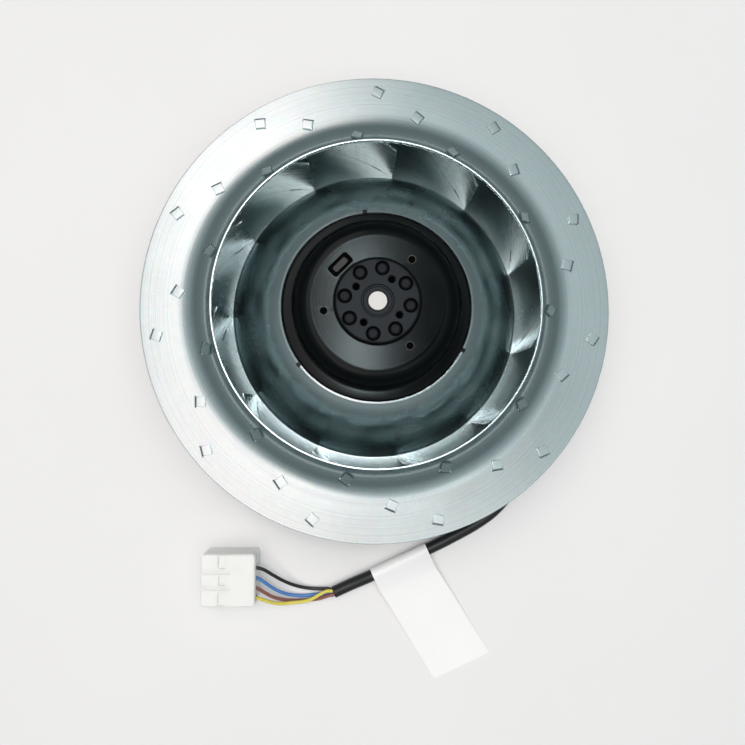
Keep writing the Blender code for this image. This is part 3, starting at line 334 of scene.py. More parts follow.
def turned_by(degrees):
    """A turn about the fan's axis, as a matrix."""
    return Matrix.Rotation(math.radians(degrees), 4, "Z")


def finish_piece(piece, material, body, nodes):
    """Puts a piece's material in its first slot, smooths the piece, and ties it to the frame."""
    if not piece.data.materials:
        piece.data.materials.append(material)
    piece.data.materials[0] = material
    pick(piece)
    bpy.ops.object.shade_smooth_by_angle(angle=SOFT_EDGE_ANGLE)
    modify(piece, "WEIGHTED_NORMAL", mode="FACE_AREA", keep_sharp=True)
    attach(piece, body)
    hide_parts(*nodes)


# Die-cast aluminium, blasted: a grey dull skin with a fine grain and faint flow marks
CAST_GRAIN = 0.5 * MM
cast_alloy, node, shader, place, _ = patterned(
    "die_cast_aluminium", "#B4B7B9", 1, 0.5, {"Scale": 90.0, "Detail": 5.0, "Distortion": 1.2},
    ("#A3A6A9", "#C2C4C5"), gloss=(0.42, 0.58))
grain = node("TexNoise", sockets={"Vector": place, "Scale": 1 / CAST_GRAIN, "Detail": 4.0})
skin = node("Bump", sockets={"Height": grain, "Strength": 0.35, "Distance": 0.05 * MM})
feed(shader, Normal=skin)

flange = turn("stator_flange_casting", [
    (TUBE_R, TUBE_TOP), (TUBE_R, FLANGE_H + 2.4), (TUBE_R + 0.3, FLANGE_H + 1.2),
    (TUBE_R + 1.2, FLANGE_H + 0.3), (TUBE_R + 2.4, FLANGE_H), (FLANGE_R - 2, FLANGE_H),
    (FLANGE_R - 0.7, FLANGE_H - 0.6), (FLANGE_R, FLANGE_H - 2), (FLANGE_R, 0), (BEARING_BORE_R, 0),
    (BEARING_BORE_R, REAR_SEAT_Z), (SHOULDER_BORE_R, REAR_SEAT_Z), (SHOULDER_BORE_R, FRONT_SEAT_Z),
    (BEARING_BORE_R, FRONT_SEAT_Z), (BEARING_BORE_R, TUBE_TOP),
], 96, closed=True)
soften(flange, 0.35)
taps = start_tool()
for quarter in range(4):
    drill(TAP_CORE_R, TAP_DEPTH + 1, polar(TAP_CIRCLE_R, 45 + 90 * quarter, (TAP_DEPTH - 1) / 2))
drill(GLAND_HOLE_R, GLAND_HOLE_L, polar(FLANGE_R + 1 - GLAND_HOLE_L / 2, EXIT_AZIMUTH, GLAND_Z), EXIT_AZIMUTH)
carve(flange, taps)
finish_piece(flange, cast_alloy, "stator", ["stator_flange"])


# Motor insides
# The stack of stator sheets with its copper winding and end collars, the rotor's stack with its cast end
# rings, two ball bearings, the spring washer that loads them and the ring on the shaft's end.

# Electrical steel sheets, stamped and stacked: thin dark lines between grey edges, half a millimetre apart
SHEET_PITCH = 0.5 * MM
stacked, node, shader, place = new_material("stacked_electrical_steel", "#7C7F83", 1, 0.45)
height = node("SeparateXYZ", sockets={0: place}).outputs["Z"]
rows = node("Math", {"operation": "MULTIPLY"}, {0: height, 1: 2 * math.pi / SHEET_PITCH})
wave = node("Math", {"operation": "SINE"}, {0: rows})
gap_line = node("MapRange", sockets={"Value": wave, "From Min": 0.5, "From Max": 1.0})
tone = node("Mix", {"data_type": "RGBA"}, {
    "Factor": gap_line, "A": linear("#85888B"), "B": linear("#3A3B3D")})
edges = node("Bump", {"invert": True}, {"Height": gap_line, "Strength": 0.6, "Distance": 0.05 * MM})
feed(shader, Base_Color=tone, Normal=edges)

# Enamelled copper wire, wound: glossy red-brown, with the wires lying side by side
WINDING_PITCH = 0.6 * MM
enamelled = patterned("enamelled_copper_wire", "#9A5428", 0.7, 0.25, {"Scale": 1.0, "Detail": 1.0},
                      ("#7A3E1C", "#BC6E38"), relief=(0.8, 0.2), stretch=(1, 1, 1 / WINDING_PITCH))[0]


def rings_round_axis(node, place, pitch, **more):
    """Rings round the fan's axis, a pitch apart, as a pattern, and the distance from the axis."""
    level = node("VectorMath", {"operation": "MULTIPLY"}, {0: place, 1: (1, 1, 0)})
    radius = node("VectorMath", {"operation": "LENGTH"}, {0: level})
    rings = node("TexNoise", {"noise_dimensions": "1D"}, {"W": radius, "Scale": 1 / pitch, **more})
    return rings, radius


# Hardened bearing steel, ground and honed: bright, with hairlines round the axis
HONE_PITCH = 0.25 * MM
bearing_steel, node, shader, place = new_material("honed_bearing_steel", "#C9CACC", 1, 0.2)
hairs, _ = rings_round_axis(node, place, HONE_PITCH)
gloss = node("MapRange", sockets={"Value": hairs, "To Min": 0.14, "To Max": 0.3})
feed(shader, Roughness=gloss)

# Glass-filled polyester, moulded: off-white and matt, a little mottled
collar_plastic = patterned("moulded_polyester", "#DDDDD6", 0, 0.5, {"Scale": 300.0, "Detail": 3.0},
                           ("#D2D2CA", "#E6E6E0"))[0]


def refinish(node_name, material):
    """Gives a solid that stays as it is a better material."""
    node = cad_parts[node_name]
    for material_slot in node.material_slots:
        material_slot.material = material
    return node


bearing_rings = [f"{side}_bearing_{ring}" for side in ("front", "rear")
                 for ring in ("inner_ring", "outer_ring", "balls")]
for finish, names in (
        (stacked, ("stator_core", "rotor_core")),
        (enamelled, ("stator_winding",)),
        (collar_plastic, ("winding_collar_front", "winding_collar_rear")),
        (cast_alloy, ("cage_ring_front", "cage_ring_rear")),
        (bearing_steel, ("shaft_retaining_ring", "bearing_wave_washer", *bearing_rings))):
    for name in names:
        refinish(name, finish)


# Rear dust cap
# A black plastic cup pressed into the bearing bore from behind, flush with the mounting face.
# It keeps dirt from the rear bearing, and its floor has a shallow ring where it was pushed home.

# Polyamide, moulded: black, softly matt, with a fine spark-eroded grain
MOULD_GRAIN = 0.3 * MM
black_plastic = patterned("black_polyamide", "#1B1C1E", 0, 0.5, {"Scale": 1 / MOULD_GRAIN, "Detail": 3.0},
                          ("#161719", "#212325"), relief=(0.3, 0.04))[0]

dust_cap = turn("dust_cap_cup", [
    (0, 2.0), (10.0, 2.0), (10.0, 7.2), (11.6, 7.2), (12.0, 6.8), (12.0, 1.0), (11.6, 0.6), (8.6, 0.6),
    (8.3, 0.9), (5.3, 0.9), (5.0, 0.6), (0, 0.6),
], 64)
finish_piece(dust_cap, black_plastic, "stator", ["rear_dust_cap"])


# Rotor pot
# A pot deep-drawn from steel sheet and dip-coated black with the hub and rivets in place. Its front has
# a raised centre, counterbored rivet places, vents, three tapped holes and a recess.

CAN_R = 44.5
CAN_WALL = 1.5
CAN_RIM_Z = 13
STEP_Z = 42.3
CAP_R = 39.3
WALL_TOP_Z = 48
SHOULDER_W = 9.3
FACE_Z = 55.5
CENTRE_R = 18.7
CENTRE_Z = 57.5
BOSS_R = 7.4
RIVET_CIRCLE_R = 14.8
RIVET_HOLE_R = 1.9
RIVET_AZIMUTHS = [82 + 90 * pair + side for pair in range(4) for side in (0, 40)]
VENT_CIRCLE_R = 11.5
VENT_AZIMUTHS = [57 + 90 * pair for pair in range(4)]
TAP_AZIMUTHS = (51, 190, 306)
TAPPED_CIRCLE_R = 24.5
RECESS_R = 23.6
RECESS_AZIMUTH = 135

# Electrocoated steel: an even black film with a soft gloss, very fine peel, and faint rings from the drawing
PEEL = 0.35 * MM
DRAW_RING_PITCH = 1.1 * MM
electrocoat, node, shader, place = new_material("black_electrocoat", "#050607", 0, 0.24)
shader.inputs["Specular IOR Level"].default_value = 0.16
shader.inputs["Specular Tint"].default_value = linear("#E4F6F8")
rings, radius = rings_round_axis(node, place, DRAW_RING_PITCH)
haze = node("TexNoise", sockets={"Vector": place, "Scale": 70.0, "Detail": 5.0, "Roughness": 0.6})
peel = node("TexNoise", sockets={"Vector": place, "Scale": 1 / PEEL, "Detail": 2.0})
tone = node("Mix", {"data_type": "RGBA"}, {"Factor": haze, "A": linear("#030404"), "B": linear("#08090A")})
past_centre = node("MapRange", sockets={"Value": radius, "From Min": 18.4 * MM, "From Max": 19.6 * MM})
tone = node("Mix", {"data_type": "RGBA"}, {"Factor": past_centre, "A": linear("#1A1B1F"), "B": tone})
mist = node("MapRange", sockets={"Value": haze, "To Min": -0.03, "To Max": 0.03})
base_gloss = node("MapRange", sockets={"Value": past_centre, "To Min": 0.42, "To Max": 0.17})
gloss = node("Math", {"operation": "ADD"}, {0: mist, 1: base_gloss})
ring_bump = node("Bump", sockets={"Height": rings, "Strength": 0.25, "Distance": 0.03 * MM})
peel_bump = node("Bump", sockets={
    "Height": peel, "Strength": 0.2, "Distance": 0.02 * MM, "Normal": ring_bump})
feed(shader, Base_Color=tone, Roughness=gloss, Normal=peel_bump)

# Painted shade for the bottoms of holes and the recess: black and quite dull, it stands in for the shade that
# falls there
painted_hole_shade_coat, _, shader, _, _ = patterned("painted_hole_shade", "#030303", 0, 0.9, {"Scale": 900.0},
                                         ("#020202", "#060607"))
shader.inputs["Specular IOR Level"].default_value = 0.05

# The same coat rubbed dull on a raised place: a shade greyer
rubbed_coat = patterned("rubbed_electrocoat", "#1E2021", 0, 0.5, {"Scale": 400.0, "Detail": 3.0},
                        ("#090A0B", "#111213"))[0]

# Steel where a tap has cut through the coat: bright and freshly turned
cut_steel = patterned("freshly_cut_steel", "#A5A39D", 1, 0.4, {"Scale": 2500.0, "Detail": 2.0},
                      gloss=(0.35, 0.55))[0]


def shoulder(start_z, top_z, width, outer_r, steps):
    """The rounded shoulder of the pot, from its upright wall to its face."""
    line = []
    for step in range(steps + 1):
        turned = math.radians(90 * step / steps)
        radius = outer_r - width * (1 - math.cos(turned))
        line.append((radius, start_z + (top_z - start_z) * math.sin(turned)))
    return line


pot_profile = [
    (BOSS_R + 0.12, CENTRE_Z), (CENTRE_R - 0.5, CENTRE_Z), (CENTRE_R, CENTRE_Z - 0.15),
    (CENTRE_R + 0.45, CENTRE_Z - 0.6), (CENTRE_R + 0.8, FACE_Z + 0.35), (CENTRE_R + 1.0, FACE_Z + 0.1),
    (CENTRE_R + 1.4, FACE_Z),
]
pot_profile += reversed(shoulder(WALL_TOP_Z, FACE_Z, SHOULDER_W, CAP_R, 14))
pot_profile += [
    (CAP_R, STEP_Z + 0.5), (CAP_R + 0.2, STEP_Z + 0.12), (CAP_R + 0.7, STEP_Z), (CAN_R - 1.4, STEP_Z),
    (CAN_R - 0.6, STEP_Z - 0.25), (CAN_R - 0.15, STEP_Z - 0.8), (CAN_R, STEP_Z - 1.6), (CAN_R, CAN_RIM_Z),
]
pot = turn("rotor_pot", pot_profile, 128)


def face_outward(piece, height):
    """Turns a sheet's faces over where those near a height in millimetres don't look up."""
    near = min(piece.data.polygons,
               key=lambda face: abs(face.center.z - height * MM) + 1 - abs(face.normal.z))
    if near.normal.z <= 0:
        open_all(piece)
        bpy.ops.mesh.flip_normals()
        bpy.ops.object.mode_set(mode="OBJECT")


face_outward(pot, CENTRE_Z)
modify(pot, "SOLIDIFY", thickness=CAN_WALL * MM, offset=-1)
pot.data.materials.append(electrocoat)


def paint_shade_below(tool, height):
    """Gives the painted hole shade to all that a cutter leaves below a height in millimetres."""
    tool.data.materials.append(painted_hole_shade_coat)
    for face in tool.data.polygons:
        if face.center.z < height * MM:
            face.material_index = len(tool.data.materials) - 1


def sink_holes(name, radius, mouth, depth, sides, places, coat, shaded_below=None):
    """Sinks round holes with eased mouths into the pot, in the given coat, with painted shade on their
    floors.
    """
    tool = turn(name, [
        (0, -depth), (radius - 0.15, -depth), (radius, -depth + 0.15), (radius, -mouth),
        (radius + mouth * 0.35, -mouth * 0.35), (radius + mouth, 0.02), (radius + mouth, 2), (0, 2)], sides)
    open_all(tool)
    bpy.ops.transform.translate(value=places[0])
    for here, there in zip(places, places[1:]):
        bpy.ops.mesh.duplicate()
        bpy.ops.transform.translate(value=there - here)
    bpy.ops.object.mode_set(mode="OBJECT")
    tool.data.materials.append(coat)
    if shaded_below:
        paint_shade_below(tool, shaded_below)
    carve(pot, tool)


def face_places(radius, azimuths, height):
    return [polar(radius, azimuth, height) for azimuth in azimuths]


# The floors of the rivet pockets and tapped holes get painted shade, black and dull.
sink_holes("rivet_pockets", 3.15, 0.3, 1.0, 32, face_places(RIVET_CIRCLE_R, RIVET_AZIMUTHS, CENTRE_Z),
           electrocoat, CENTRE_Z - 0.5)
sink_holes("vents", 1.65, 0.25, 4, 24, face_places(VENT_CIRCLE_R, VENT_AZIMUTHS, CENTRE_Z), electrocoat)
sink_holes("tapped_holes", 1.6, 0.35, 1.35, 24, face_places(TAPPED_CIRCLE_R, TAP_AZIMUTHS, FACE_Z),
           cut_steel, FACE_Z - 0.5)
rivet_holes = start_tool()
for azimuth in RIVET_AZIMUTHS:
    drill(RIVET_HOLE_R, 6, polar(RIVET_CIRCLE_R, azimuth, CENTRE_Z - 2), sides=24)
carve(pot, rivet_holes)

RECESS_L = 11.6
RECESS_W = 6.0
RECESS_DEPTH = 1.25
RECESS_CORNER = 1.4
PAD_SIZE = (2.8, 7.6, 0.9)
PAD_CORNER = 0.9


def turned_place(radius, azimuth, height):
    """The matrix that sets a shape at a place on the face, with its own X pointing outwards."""
    return Matrix.Translation(polar(radius, azimuth, height)) @ turned_by(azimuth)


def block(name, size, corner, place):
    """A rounded block, its size in millimetres and its place a matrix."""
    piece = add_shape("cube")
    piece.name = name
    open_all(piece)
    bpy.ops.transform.resize(value=size)
    bpy.ops.mesh.select_all(action="DESELECT")
    shape = bmesh.from_edit_mesh(piece.data)
    for edge in shape.edges:
        if abs(edge.verts[0].co.z - edge.verts[1].co.z) > 0.5 * size[2] * MM:
            edge.select_set(True)
    bmesh.update_edit_mesh(piece.data)
    bpy.ops.mesh.bevel(offset=corner * MM, segments=5, affect="EDGES")
    bpy.ops.object.mode_set(mode="OBJECT")
    place_at(piece, place)
    return piece


recess = block("recess_cutter", (RECESS_W, RECESS_L, 4), RECESS_CORNER,
               turned_place(RECESS_R, RECESS_AZIMUTH, FACE_Z - RECESS_DEPTH + 2))
recess_mouth = block("recess_mouth", (RECESS_W + 0.9, RECESS_L + 0.9, 4), RECESS_CORNER + 0.4,
                     turned_place(RECESS_R, RECESS_AZIMUTH, FACE_Z - 0.3 + 2))
# The recess's floor gets painted shade, black and dull.
for cutter in (recess_mouth, recess):
    cutter.data.materials.append(electrocoat)
    paint_shade_below(cutter, FACE_Z - 0.5)
    carve(pot, cutter)
pad = block("recess_pad", PAD_SIZE, PAD_CORNER,
            turned_place(RECESS_R, RECESS_AZIMUTH, FACE_Z - RECESS_DEPTH + 0.25))
pad.data.materials.append(rubbed_coat)
carve(pot, pad, "UNION")
finish_piece(pot, electrocoat, "rotor", ["rotor_can"])


# Hub
# A turned steel hub, pressed on the shaft and riveted behind the pot's face. Its boss comes through
# the middle of the face and has a groove round the shaft's end.

hub = turn("rotor_hub_turned", [
    (4.62, 57.0), (4.8, 56.75), (6.2, 56.75), (6.45, 57.0), (6.75, 57.1), (7.2, 57.1), (BOSS_R, 56.9),
    (BOSS_R, 55.8), (17.0, 55.8), (17.0, 53.8), (22.0, 53.8), (22.0, 50.8), (8.4, 50.8), (6.9, 44.2),
    (4.62, 44.2),
], 80, closed=True)
hub_holes = start_tool()
for azimuth in RIVET_AZIMUTHS:
    drill(RIVET_HOLE_R, 14, polar(RIVET_CIRCLE_R, azimuth, 53), sides=16)
for azimuth in VENT_AZIMUTHS:
    drill(1.5, 8, polar(VENT_CIRCLE_R, azimuth, 56.5), sides=20)
# The hub's vent holes get painted shade, black and dull, which shows through the pot's vents.
hub_holes.data.materials.append(painted_hole_shade_coat)
hub.data.materials.append(electrocoat)
carve(hub, hub_holes)
soften(hub, 0.1)
finish_piece(hub, electrocoat, "rotor", ["rotor_hub"])


# Rivets
# Eight steel rivets, coated with the pot, close it to the hub. Each has a low crowned head with a
# small dimple from the riveting tool, and sits in its counterbored place.

RIVET_HEAD_Z = 56.55
rivet = turn("rivet_form", [
    (0, RIVET_HEAD_Z + 0.62), (0.55, RIVET_HEAD_Z + 0.64), (0.8, RIVET_HEAD_Z + 0.92),
    (1.1, RIVET_HEAD_Z + 1.0), (1.6, RIVET_HEAD_Z + 0.93), (2.05, RIVET_HEAD_Z + 0.7),
    (2.35, RIVET_HEAD_Z + 0.35), (2.4, RIVET_HEAD_Z), (1.6, RIVET_HEAD_Z - 0.02), (1.6, 50.5), (2.3, 50.4),
    (2.4, 50.1), (2.1, 49.8), (0, 49.7),
], 28)
for index, azimuth in enumerate(RIVET_AZIMUTHS):
    copy = copy_to(rivet, f"rivet_{index + 1}", Matrix.Translation(polar(RIVET_CIRCLE_R, azimuth)))
    finish_piece(copy, electrocoat, "rotor", [f"rotor_rivet_{index + 1}"])
bpy.data.objects.remove(rivet, do_unlink=True)


# Shaft
# A ground steel shaft of 9 mm. Its bright front end shows in the boss, with a small chamfer and
# the fine rings of the facing tool; the groove for its retaining ring is near the rear end.

# Ground steel: bright and clean, with very fine rings on the end face
FACING_PITCH = 0.22 * MM
ground_steel, node, shader, place = new_material("ground_steel", "#B2B2AF", 1, 0.45)
facing_rings, _ = rings_round_axis(node, place, FACING_PITCH)
tone = node("Mix", {"data_type": "RGBA"}, {
    "Factor": facing_rings, "A": linear("#A4A4A1"), "B": linear("#C2C2BF")})
gloss = node("MapRange", sockets={"Value": facing_rings, "To Min": 0.42, "To Max": 0.58})
ring_bump = node("Bump", sockets={"Height": facing_rings, "Strength": 0.3, "Distance": 0.02 * MM})
feed(shader, Base_Color=tone, Roughness=gloss, Normal=ring_bump)

shaft = turn("shaft_ground", [
    (0, 57.25), (0.5, 57.4), (4.1, 57.4), (4.5, 57.0), (4.5, 7.4), (4.0, 7.4), (4.0, 6.0), (4.5, 6.0),
    (4.5, 4.0), (4.1, 3.6), (0, 3.6),
], 64)
finish_piece(shaft, ground_steel, "rotor", ["rotor_shaft"])


# Back plate
# One millimetre galvanised sheet, drawn up into a dome and closed round the pot's step by a low upstand.
# Its flat outer ring carries the blades, whose tabs come through slots and are clinched underneath.

SHEET = 1.0
BACK_Z = 12
WHEEL_R = 110
LIP_R = 45.8
DOME_R = 71.7
DOME_TOP_ANGLE = 20
DOME_FOOT_ANGLE = 76
LIP_H = 0.7
LIP_SLOPE = 0.22
NOTCH_AZIMUTHS = (97, 217, 333)

# Galvanised steel, spun: cool grey zinc with fine rings from the roller, soft clouds and a faint bloom
SPIN_PITCH = 0.8 * MM
BLOOM = 2.2 * MM


def bloomed_zinc(node, shader, place, pattern):
    """Shades zinc by a pattern of rings or streaks, with a faint bloom of crystals over it."""
    bloom = node("TexVoronoi", {"feature": "SMOOTH_F1"}, {"Vector": place, "Scale": 1 / BLOOM})
    zinc = node("Mix", {"data_type": "RGBA"}, {
        "Factor": pattern, "A": linear("#B8C7C9"), "B": linear("#CCD9DA")})
    spangled = node("Mix", {"data_type": "RGBA", "blend_type": "MULTIPLY"}, {
        "Factor": 0.05, "A": zinc, "B": bloom.outputs["Color"]})
    feed(shader, Base_Color=spangled)


spun_zinc, node, shader, place = new_material("spun_galvanised_steel", "#C3D1D2", 1, 0.26)
rings, _ = rings_round_axis(node, place, SPIN_PITCH, Detail=2.5, Roughness=0.6)
clouds = node("TexNoise", sockets={"Vector": place, "Scale": 28.0, "Detail": 5.0, "Roughness": 0.6})
gloss = node("MapRange", sockets={
    "Value": clouds, "From Min": 0.3, "From Max": 0.7, "To Min": 0.23, "To Max": 0.29})
ring_bump = node("Bump", sockets={"Height": rings, "Strength": 0.35, "Distance": 0.03 * MM})
round_axis = node("Tangent", {"direction_type": "RADIAL", "axis": "Z"})
bloomed_zinc(node, shader, place, rings)
feed(shader, Roughness=gloss, Normal=ring_bump, Tangent=round_axis)
shader.inputs["Anisotropic"].default_value = 0.35

dome = [(LIP_R, STEP_Z + LIP_H)]
top_sine, foot_sine = (math.sin(math.radians(angle)) for angle in (DOME_TOP_ANGLE, DOME_FOOT_ANGLE))
top_cosine, foot_cosine = (math.cos(math.radians(angle)) for angle in (DOME_TOP_ANGLE, DOME_FOOT_ANGLE))
DOME_STEPS = 24
for step in range(DOME_STEPS + 1):
    turned = math.radians(DOME_TOP_ANGLE + (DOME_FOOT_ANGLE - DOME_TOP_ANGLE) * step / DOME_STEPS)
    out = (math.sin(turned) - top_sine) / (foot_sine - top_sine)
    up = (math.cos(turned) - foot_cosine) / (top_cosine - foot_cosine)
    dome.append((LIP_R + (DOME_R - LIP_R) * out, BACK_Z + SHEET + (STEP_Z - LIP_H - BACK_Z - SHEET) * up))
foot_r, foot_z = dome.pop()
dome += [(foot_r - 0.1, foot_z + 0.7), (foot_r + 0.25, foot_z + 0.15), (foot_r + 0.9, foot_z),
         (WHEEL_R - 1.2, foot_z), (WHEEL_R, foot_z)]
back_plate = turn("back_plate_drawn", dome, 176)
face_outward(back_plate, foot_z)
modify(back_plate, "SOLIDIFY", thickness=SHEET * MM, offset=-1, use_even_offset=True)
soften(back_plate, 0.12)


# Blades
# Eleven backward-curved blades, sheared from the same sheet and rolled to one radius. Each has three tabs
# at its foot and three at its top, pushed through the plates' slots and hammered flat on the hollow side.

BLADES = 11
BLADE_ARC_R = 95.5
BLADE_INLET_R = 73.5
BLADE_OUTLET_R = 108.8
BLADE_INLET_ANGLE = 27
BLADE_PHASE = 17.3
BLADE_INLET_TOP = 46.5
BLADE_TOP_LEAD = 1.6
TAB_W = 4.6
TAB_FLAP = 4.2
TAB_NECK = 0.8
TAB_BEND = 0.55
TAB_RADII = (82.8, 94.4, 104.6)
FOOT_RADII = (77.9, 94.4, 104.6)
SHROUD_Z = 42
EYE_R = 75.2
BELL_W = 17
BELL_H = 12
CLEARANCE = 0.04

# Galvanised sheet as rolled: faint straight streaks along the blade
STREAK_PITCH = 1.2 * MM
rolled_zinc, node, shader, place, streaks = patterned(
    "rolled_galvanised_steel", "#C3D1D2", 1, 0.26, {"Scale": 1.0, "Detail": 4.0}, gloss=(0.18, 0.34),
    relief=(0.15, 0.03), stretch=(25, 25, 1 / STREAK_PITCH))
bloomed_zinc(node, shader, place, streaks)

turned = math.radians(BLADE_INLET_ANGLE)
ARC_CENTRE = Vector((BLADE_INLET_R - math.cos(turned) * BLADE_ARC_R, math.sin(turned) * BLADE_ARC_R))


def bell_point(degrees):
    """A point of the shroud's upper side on its bell, from the flat at 0 to the rim at 90 degrees."""
    turned = math.radians(degrees)
    return EYE_R + BELL_W * (1 - math.sin(turned)), SHROUD_Z + BELL_H * (1 - math.cos(turned))


def shroud_top(radius):
    """Height of the shroud's upper side at a radius, in millimetres."""
    share = (EYE_R + BELL_W - radius) / BELL_W
    if share <= 0:
        return SHROUD_Z
    return SHROUD_Z + BELL_H * (1 - math.sqrt(max(0, 1 - min(1, share)**2)))


def upright(radius):
    """How much thicker the sloping sheet is when measured upright."""
    slope = (shroud_top(radius + 0.2) - shroud_top(radius - 0.2)) / 0.4
    return math.hypot(1, slope)


def blade_place(radius):
    """Where the first blade's curve crosses a radius, and the way to its hollow side."""
    reach = ARC_CENTRE.length
    cosine = (radius**2 + reach**2 - BLADE_ARC_R**2) / (2 * radius * reach)
    azimuth = math.atan2(ARC_CENTRE.y, ARC_CENTRE.x) - math.acos(cosine)
    point = Vector((radius * math.cos(azimuth), radius * math.sin(azimuth)))
    return point, (ARC_CENTRE - point).normalized()


def tab_edges(radius):
    """The radii at which a tab's two edges leave the blade."""
    point, hollow = blade_place(radius)
    along_curve = Vector((hollow.y, -hollow.x))
    reach = TAB_W / 2 * abs(along_curve.dot(point.normalized()))
    return radius - reach, radius + reach


def blade_top(radius):
    """Height of the blade's upper edge: level at the inlet, then close under the shroud."""
    probe = radius + BLADE_TOP_LEAD
    if probe < EYE_R + 0.5:
        return BLADE_INLET_TOP
    return min(BLADE_INLET_TOP, shroud_top(probe) - SHEET * upright(probe) - CLEARANCE)


columns = {BLADE_INLET_R + (BLADE_OUTLET_R - BLADE_INLET_R) * step / 14 for step in range(15)}
for tab_radius in TAB_RADII + FOOT_RADII:
    columns.update(tab_edges(tab_radius))
columns = sorted(columns)
curve_line = [blade_place(radius)[0] for radius in columns]

blade = start_line("blade_form", (*curve_line[0], BACK_Z + SHEET + CLEARANCE))
draw_line([(*point, BACK_Z + SHEET + CLEARANCE) for point in curve_line])
bpy.ops.mesh.select_all(action="SELECT")
bpy.ops.mesh.extrude_region_move(TRANSFORM_OT_translate={"value": (0, 0, 20 * MM)})


def set_heights(height_at):
    """Sets the height of the blade's selected vertices by their radius, both in millimetres."""
    shape = bmesh.from_edit_mesh(blade.data)
    for vert in shape.verts:
        if vert.select:
            vert.co.z = height_at(math.hypot(vert.co.x, vert.co.y) / MM) * MM
    bmesh.update_edit_mesh(blade.data)


half_sheet = SHEET / 2 + CLEARANCE


def flap_height(radius):
    """Height of the middle of a clinched tab over the shroud."""
    return shroud_top(radius) + half_sheet * upright(radius)


set_heights(blade_top)
for radii, at_top in ((TAB_RADII, True), (FOOT_RADII, False)):
    for tab_radius in radii:
        near, far = tab_edges(tab_radius)
        hollow = blade_place(tab_radius)[1]
        shape = bmesh.from_edit_mesh(blade.data)
        bpy.ops.mesh.select_all(action="DESELECT")
        for vert in shape.verts:
            radius = math.hypot(vert.co.x, vert.co.y) / MM
            on_edge = vert.co.z > 30 * MM if at_top else vert.co.z < 15 * MM
            vert.select_set(on_edge and near - 0.01 < radius < far + 0.01 and len(vert.link_faces) < 3)
        shape.select_flush(True)
        bmesh.update_edit_mesh(blade.data)
        neck = (0, 0, TAB_NECK if at_top else -TAB_NECK)
        for step in (neck, (hollow.x * TAB_FLAP, hollow.y * TAB_FLAP, 0)):
            bpy.ops.mesh.extrude_region_move(TRANSFORM_OT_translate={"value": Vector(step) * MM})
            set_heights(flap_height if at_top else lambda radius: BACK_Z - half_sheet)

shape = bmesh.from_edit_mesh(blade.data)
bpy.ops.mesh.select_all(action="DESELECT")
for edge in shape.edges:
    if len(edge.link_faces) == 2 and edge.calc_face_angle() > math.radians(50):
        edge.select_set(True)
bmesh.update_edit_mesh(blade.data)
bpy.ops.mesh.bevel(offset=TAB_BEND * MM, segments=3, affect="EDGES")
close_shape()
modify(blade, "SOLIDIFY", thickness=SHEET * MM, offset=0, use_even_offset=True)
soften(blade, 0.14)

for index in range(BLADES):
    copy = copy_to(blade, f"blade_rolled_{index + 1:02d}", turned_by(BLADE_PHASE + index * 360 / BLADES))
    finish_piece(copy, rolled_zinc, "rotor", [f"blade_{index + 1:02d}"])
bpy.data.objects.remove(blade, do_unlink=True)


def slot_tool(radii, low_z, high_z, play):
    """Cutters for the slots that all the blades' tabs go through."""
    tool = start_tool()
    for index in range(BLADES):
        turned = turned_by(BLADE_PHASE + index * 360 / BLADES)
        for tab_radius in radii:
            point, hollow = blade_place(tab_radius)
            at = turned @ Vector((*point, (low_z + high_z) / 2))
            facing_to = turned @ Vector((*hollow, 0))
            bpy.ops.mesh.primitive_cube_add(
                size=1, location=at * MM, rotation=(0, 0, math.atan2(facing_to.y, facing_to.x)),
                scale=((SHEET + 0.5) * MM, (TAB_W + 2 * play) * MM, (high_z - low_z) * MM))
    bpy.ops.object.mode_set(mode="OBJECT")
    return tool


carve(back_plate, slot_tool(FOOT_RADII, BACK_Z - 1, BACK_Z + SHEET + 1, 1.0))
notches = start_tool()
for azimuth in NOTCH_AZIMUTHS:
    bpy.ops.mesh.primitive_cube_add(
        size=1, location=polar(LIP_R - 0.3, azimuth, STEP_Z), rotation=(0, 0, math.radians(azimuth)),
        scale=(2.0 * MM, 2.2 * MM, 5.4 * MM))
carve(back_plate, notches)

# Only between two of the notches does the upstand stand proud; elsewhere it was rolled down to the pot
for vert in back_plate.data.vertices:
    radius = math.hypot(vert.co.x, vert.co.y) / MM
    azimuth = math.degrees(math.atan2(vert.co.y, vert.co.x)) % 360
    if radius < LIP_R + 0.01 and not NOTCH_AZIMUTHS[1] < azimuth < NOTCH_AZIMUTHS[2]:
        vert.co.z = min(vert.co.z, (STEP_Z - LIP_H + (LIP_R - radius) * 0.3) * MM)
    elif radius < LIP_R + 0.01 and vert.co.z > STEP_Z * MM:
        vert.co.z -= max(0, radius - LIP_R + SHEET) * LIP_SLOPE * MM
finish_piece(back_plate, spun_zinc, "rotor", ["back_plate"])


# Front shroud
# One millimetre galvanised sheet spun into a ring: flat outside, then a bell that rises to the inlet rim.
# The blades' top tabs come through its slots, three in a row for each blade.

bell = [bell_point(90 - 90 * step / 20) for step in range(21)]
shroud_line = bell + [(EYE_R + BELL_W + 1.2, SHROUD_Z), (WHEEL_R - 1.2, SHROUD_Z), (WHEEL_R, SHROUD_Z)]
shroud = turn("front_shroud_spun", shroud_line, 176)
face_outward(shroud, SHROUD_Z)
modify(shroud, "SOLIDIFY", thickness=SHEET * MM, offset=-1, use_even_offset=True)
soften(shroud, 0.3, 3)
carve(shroud, slot_tool(TAB_RADII, SHROUD_Z - SHEET - 1, SHROUD_Z + 5, 0.5))
finish_piece(shroud, spun_zinc, "rotor", ["front_shroud"])


# Cable gland
# A black plastic strain relief, pressed into the flange's side: a collar against the casting and a
# tapered sleeve with bending grooves, through which the lead leaves.

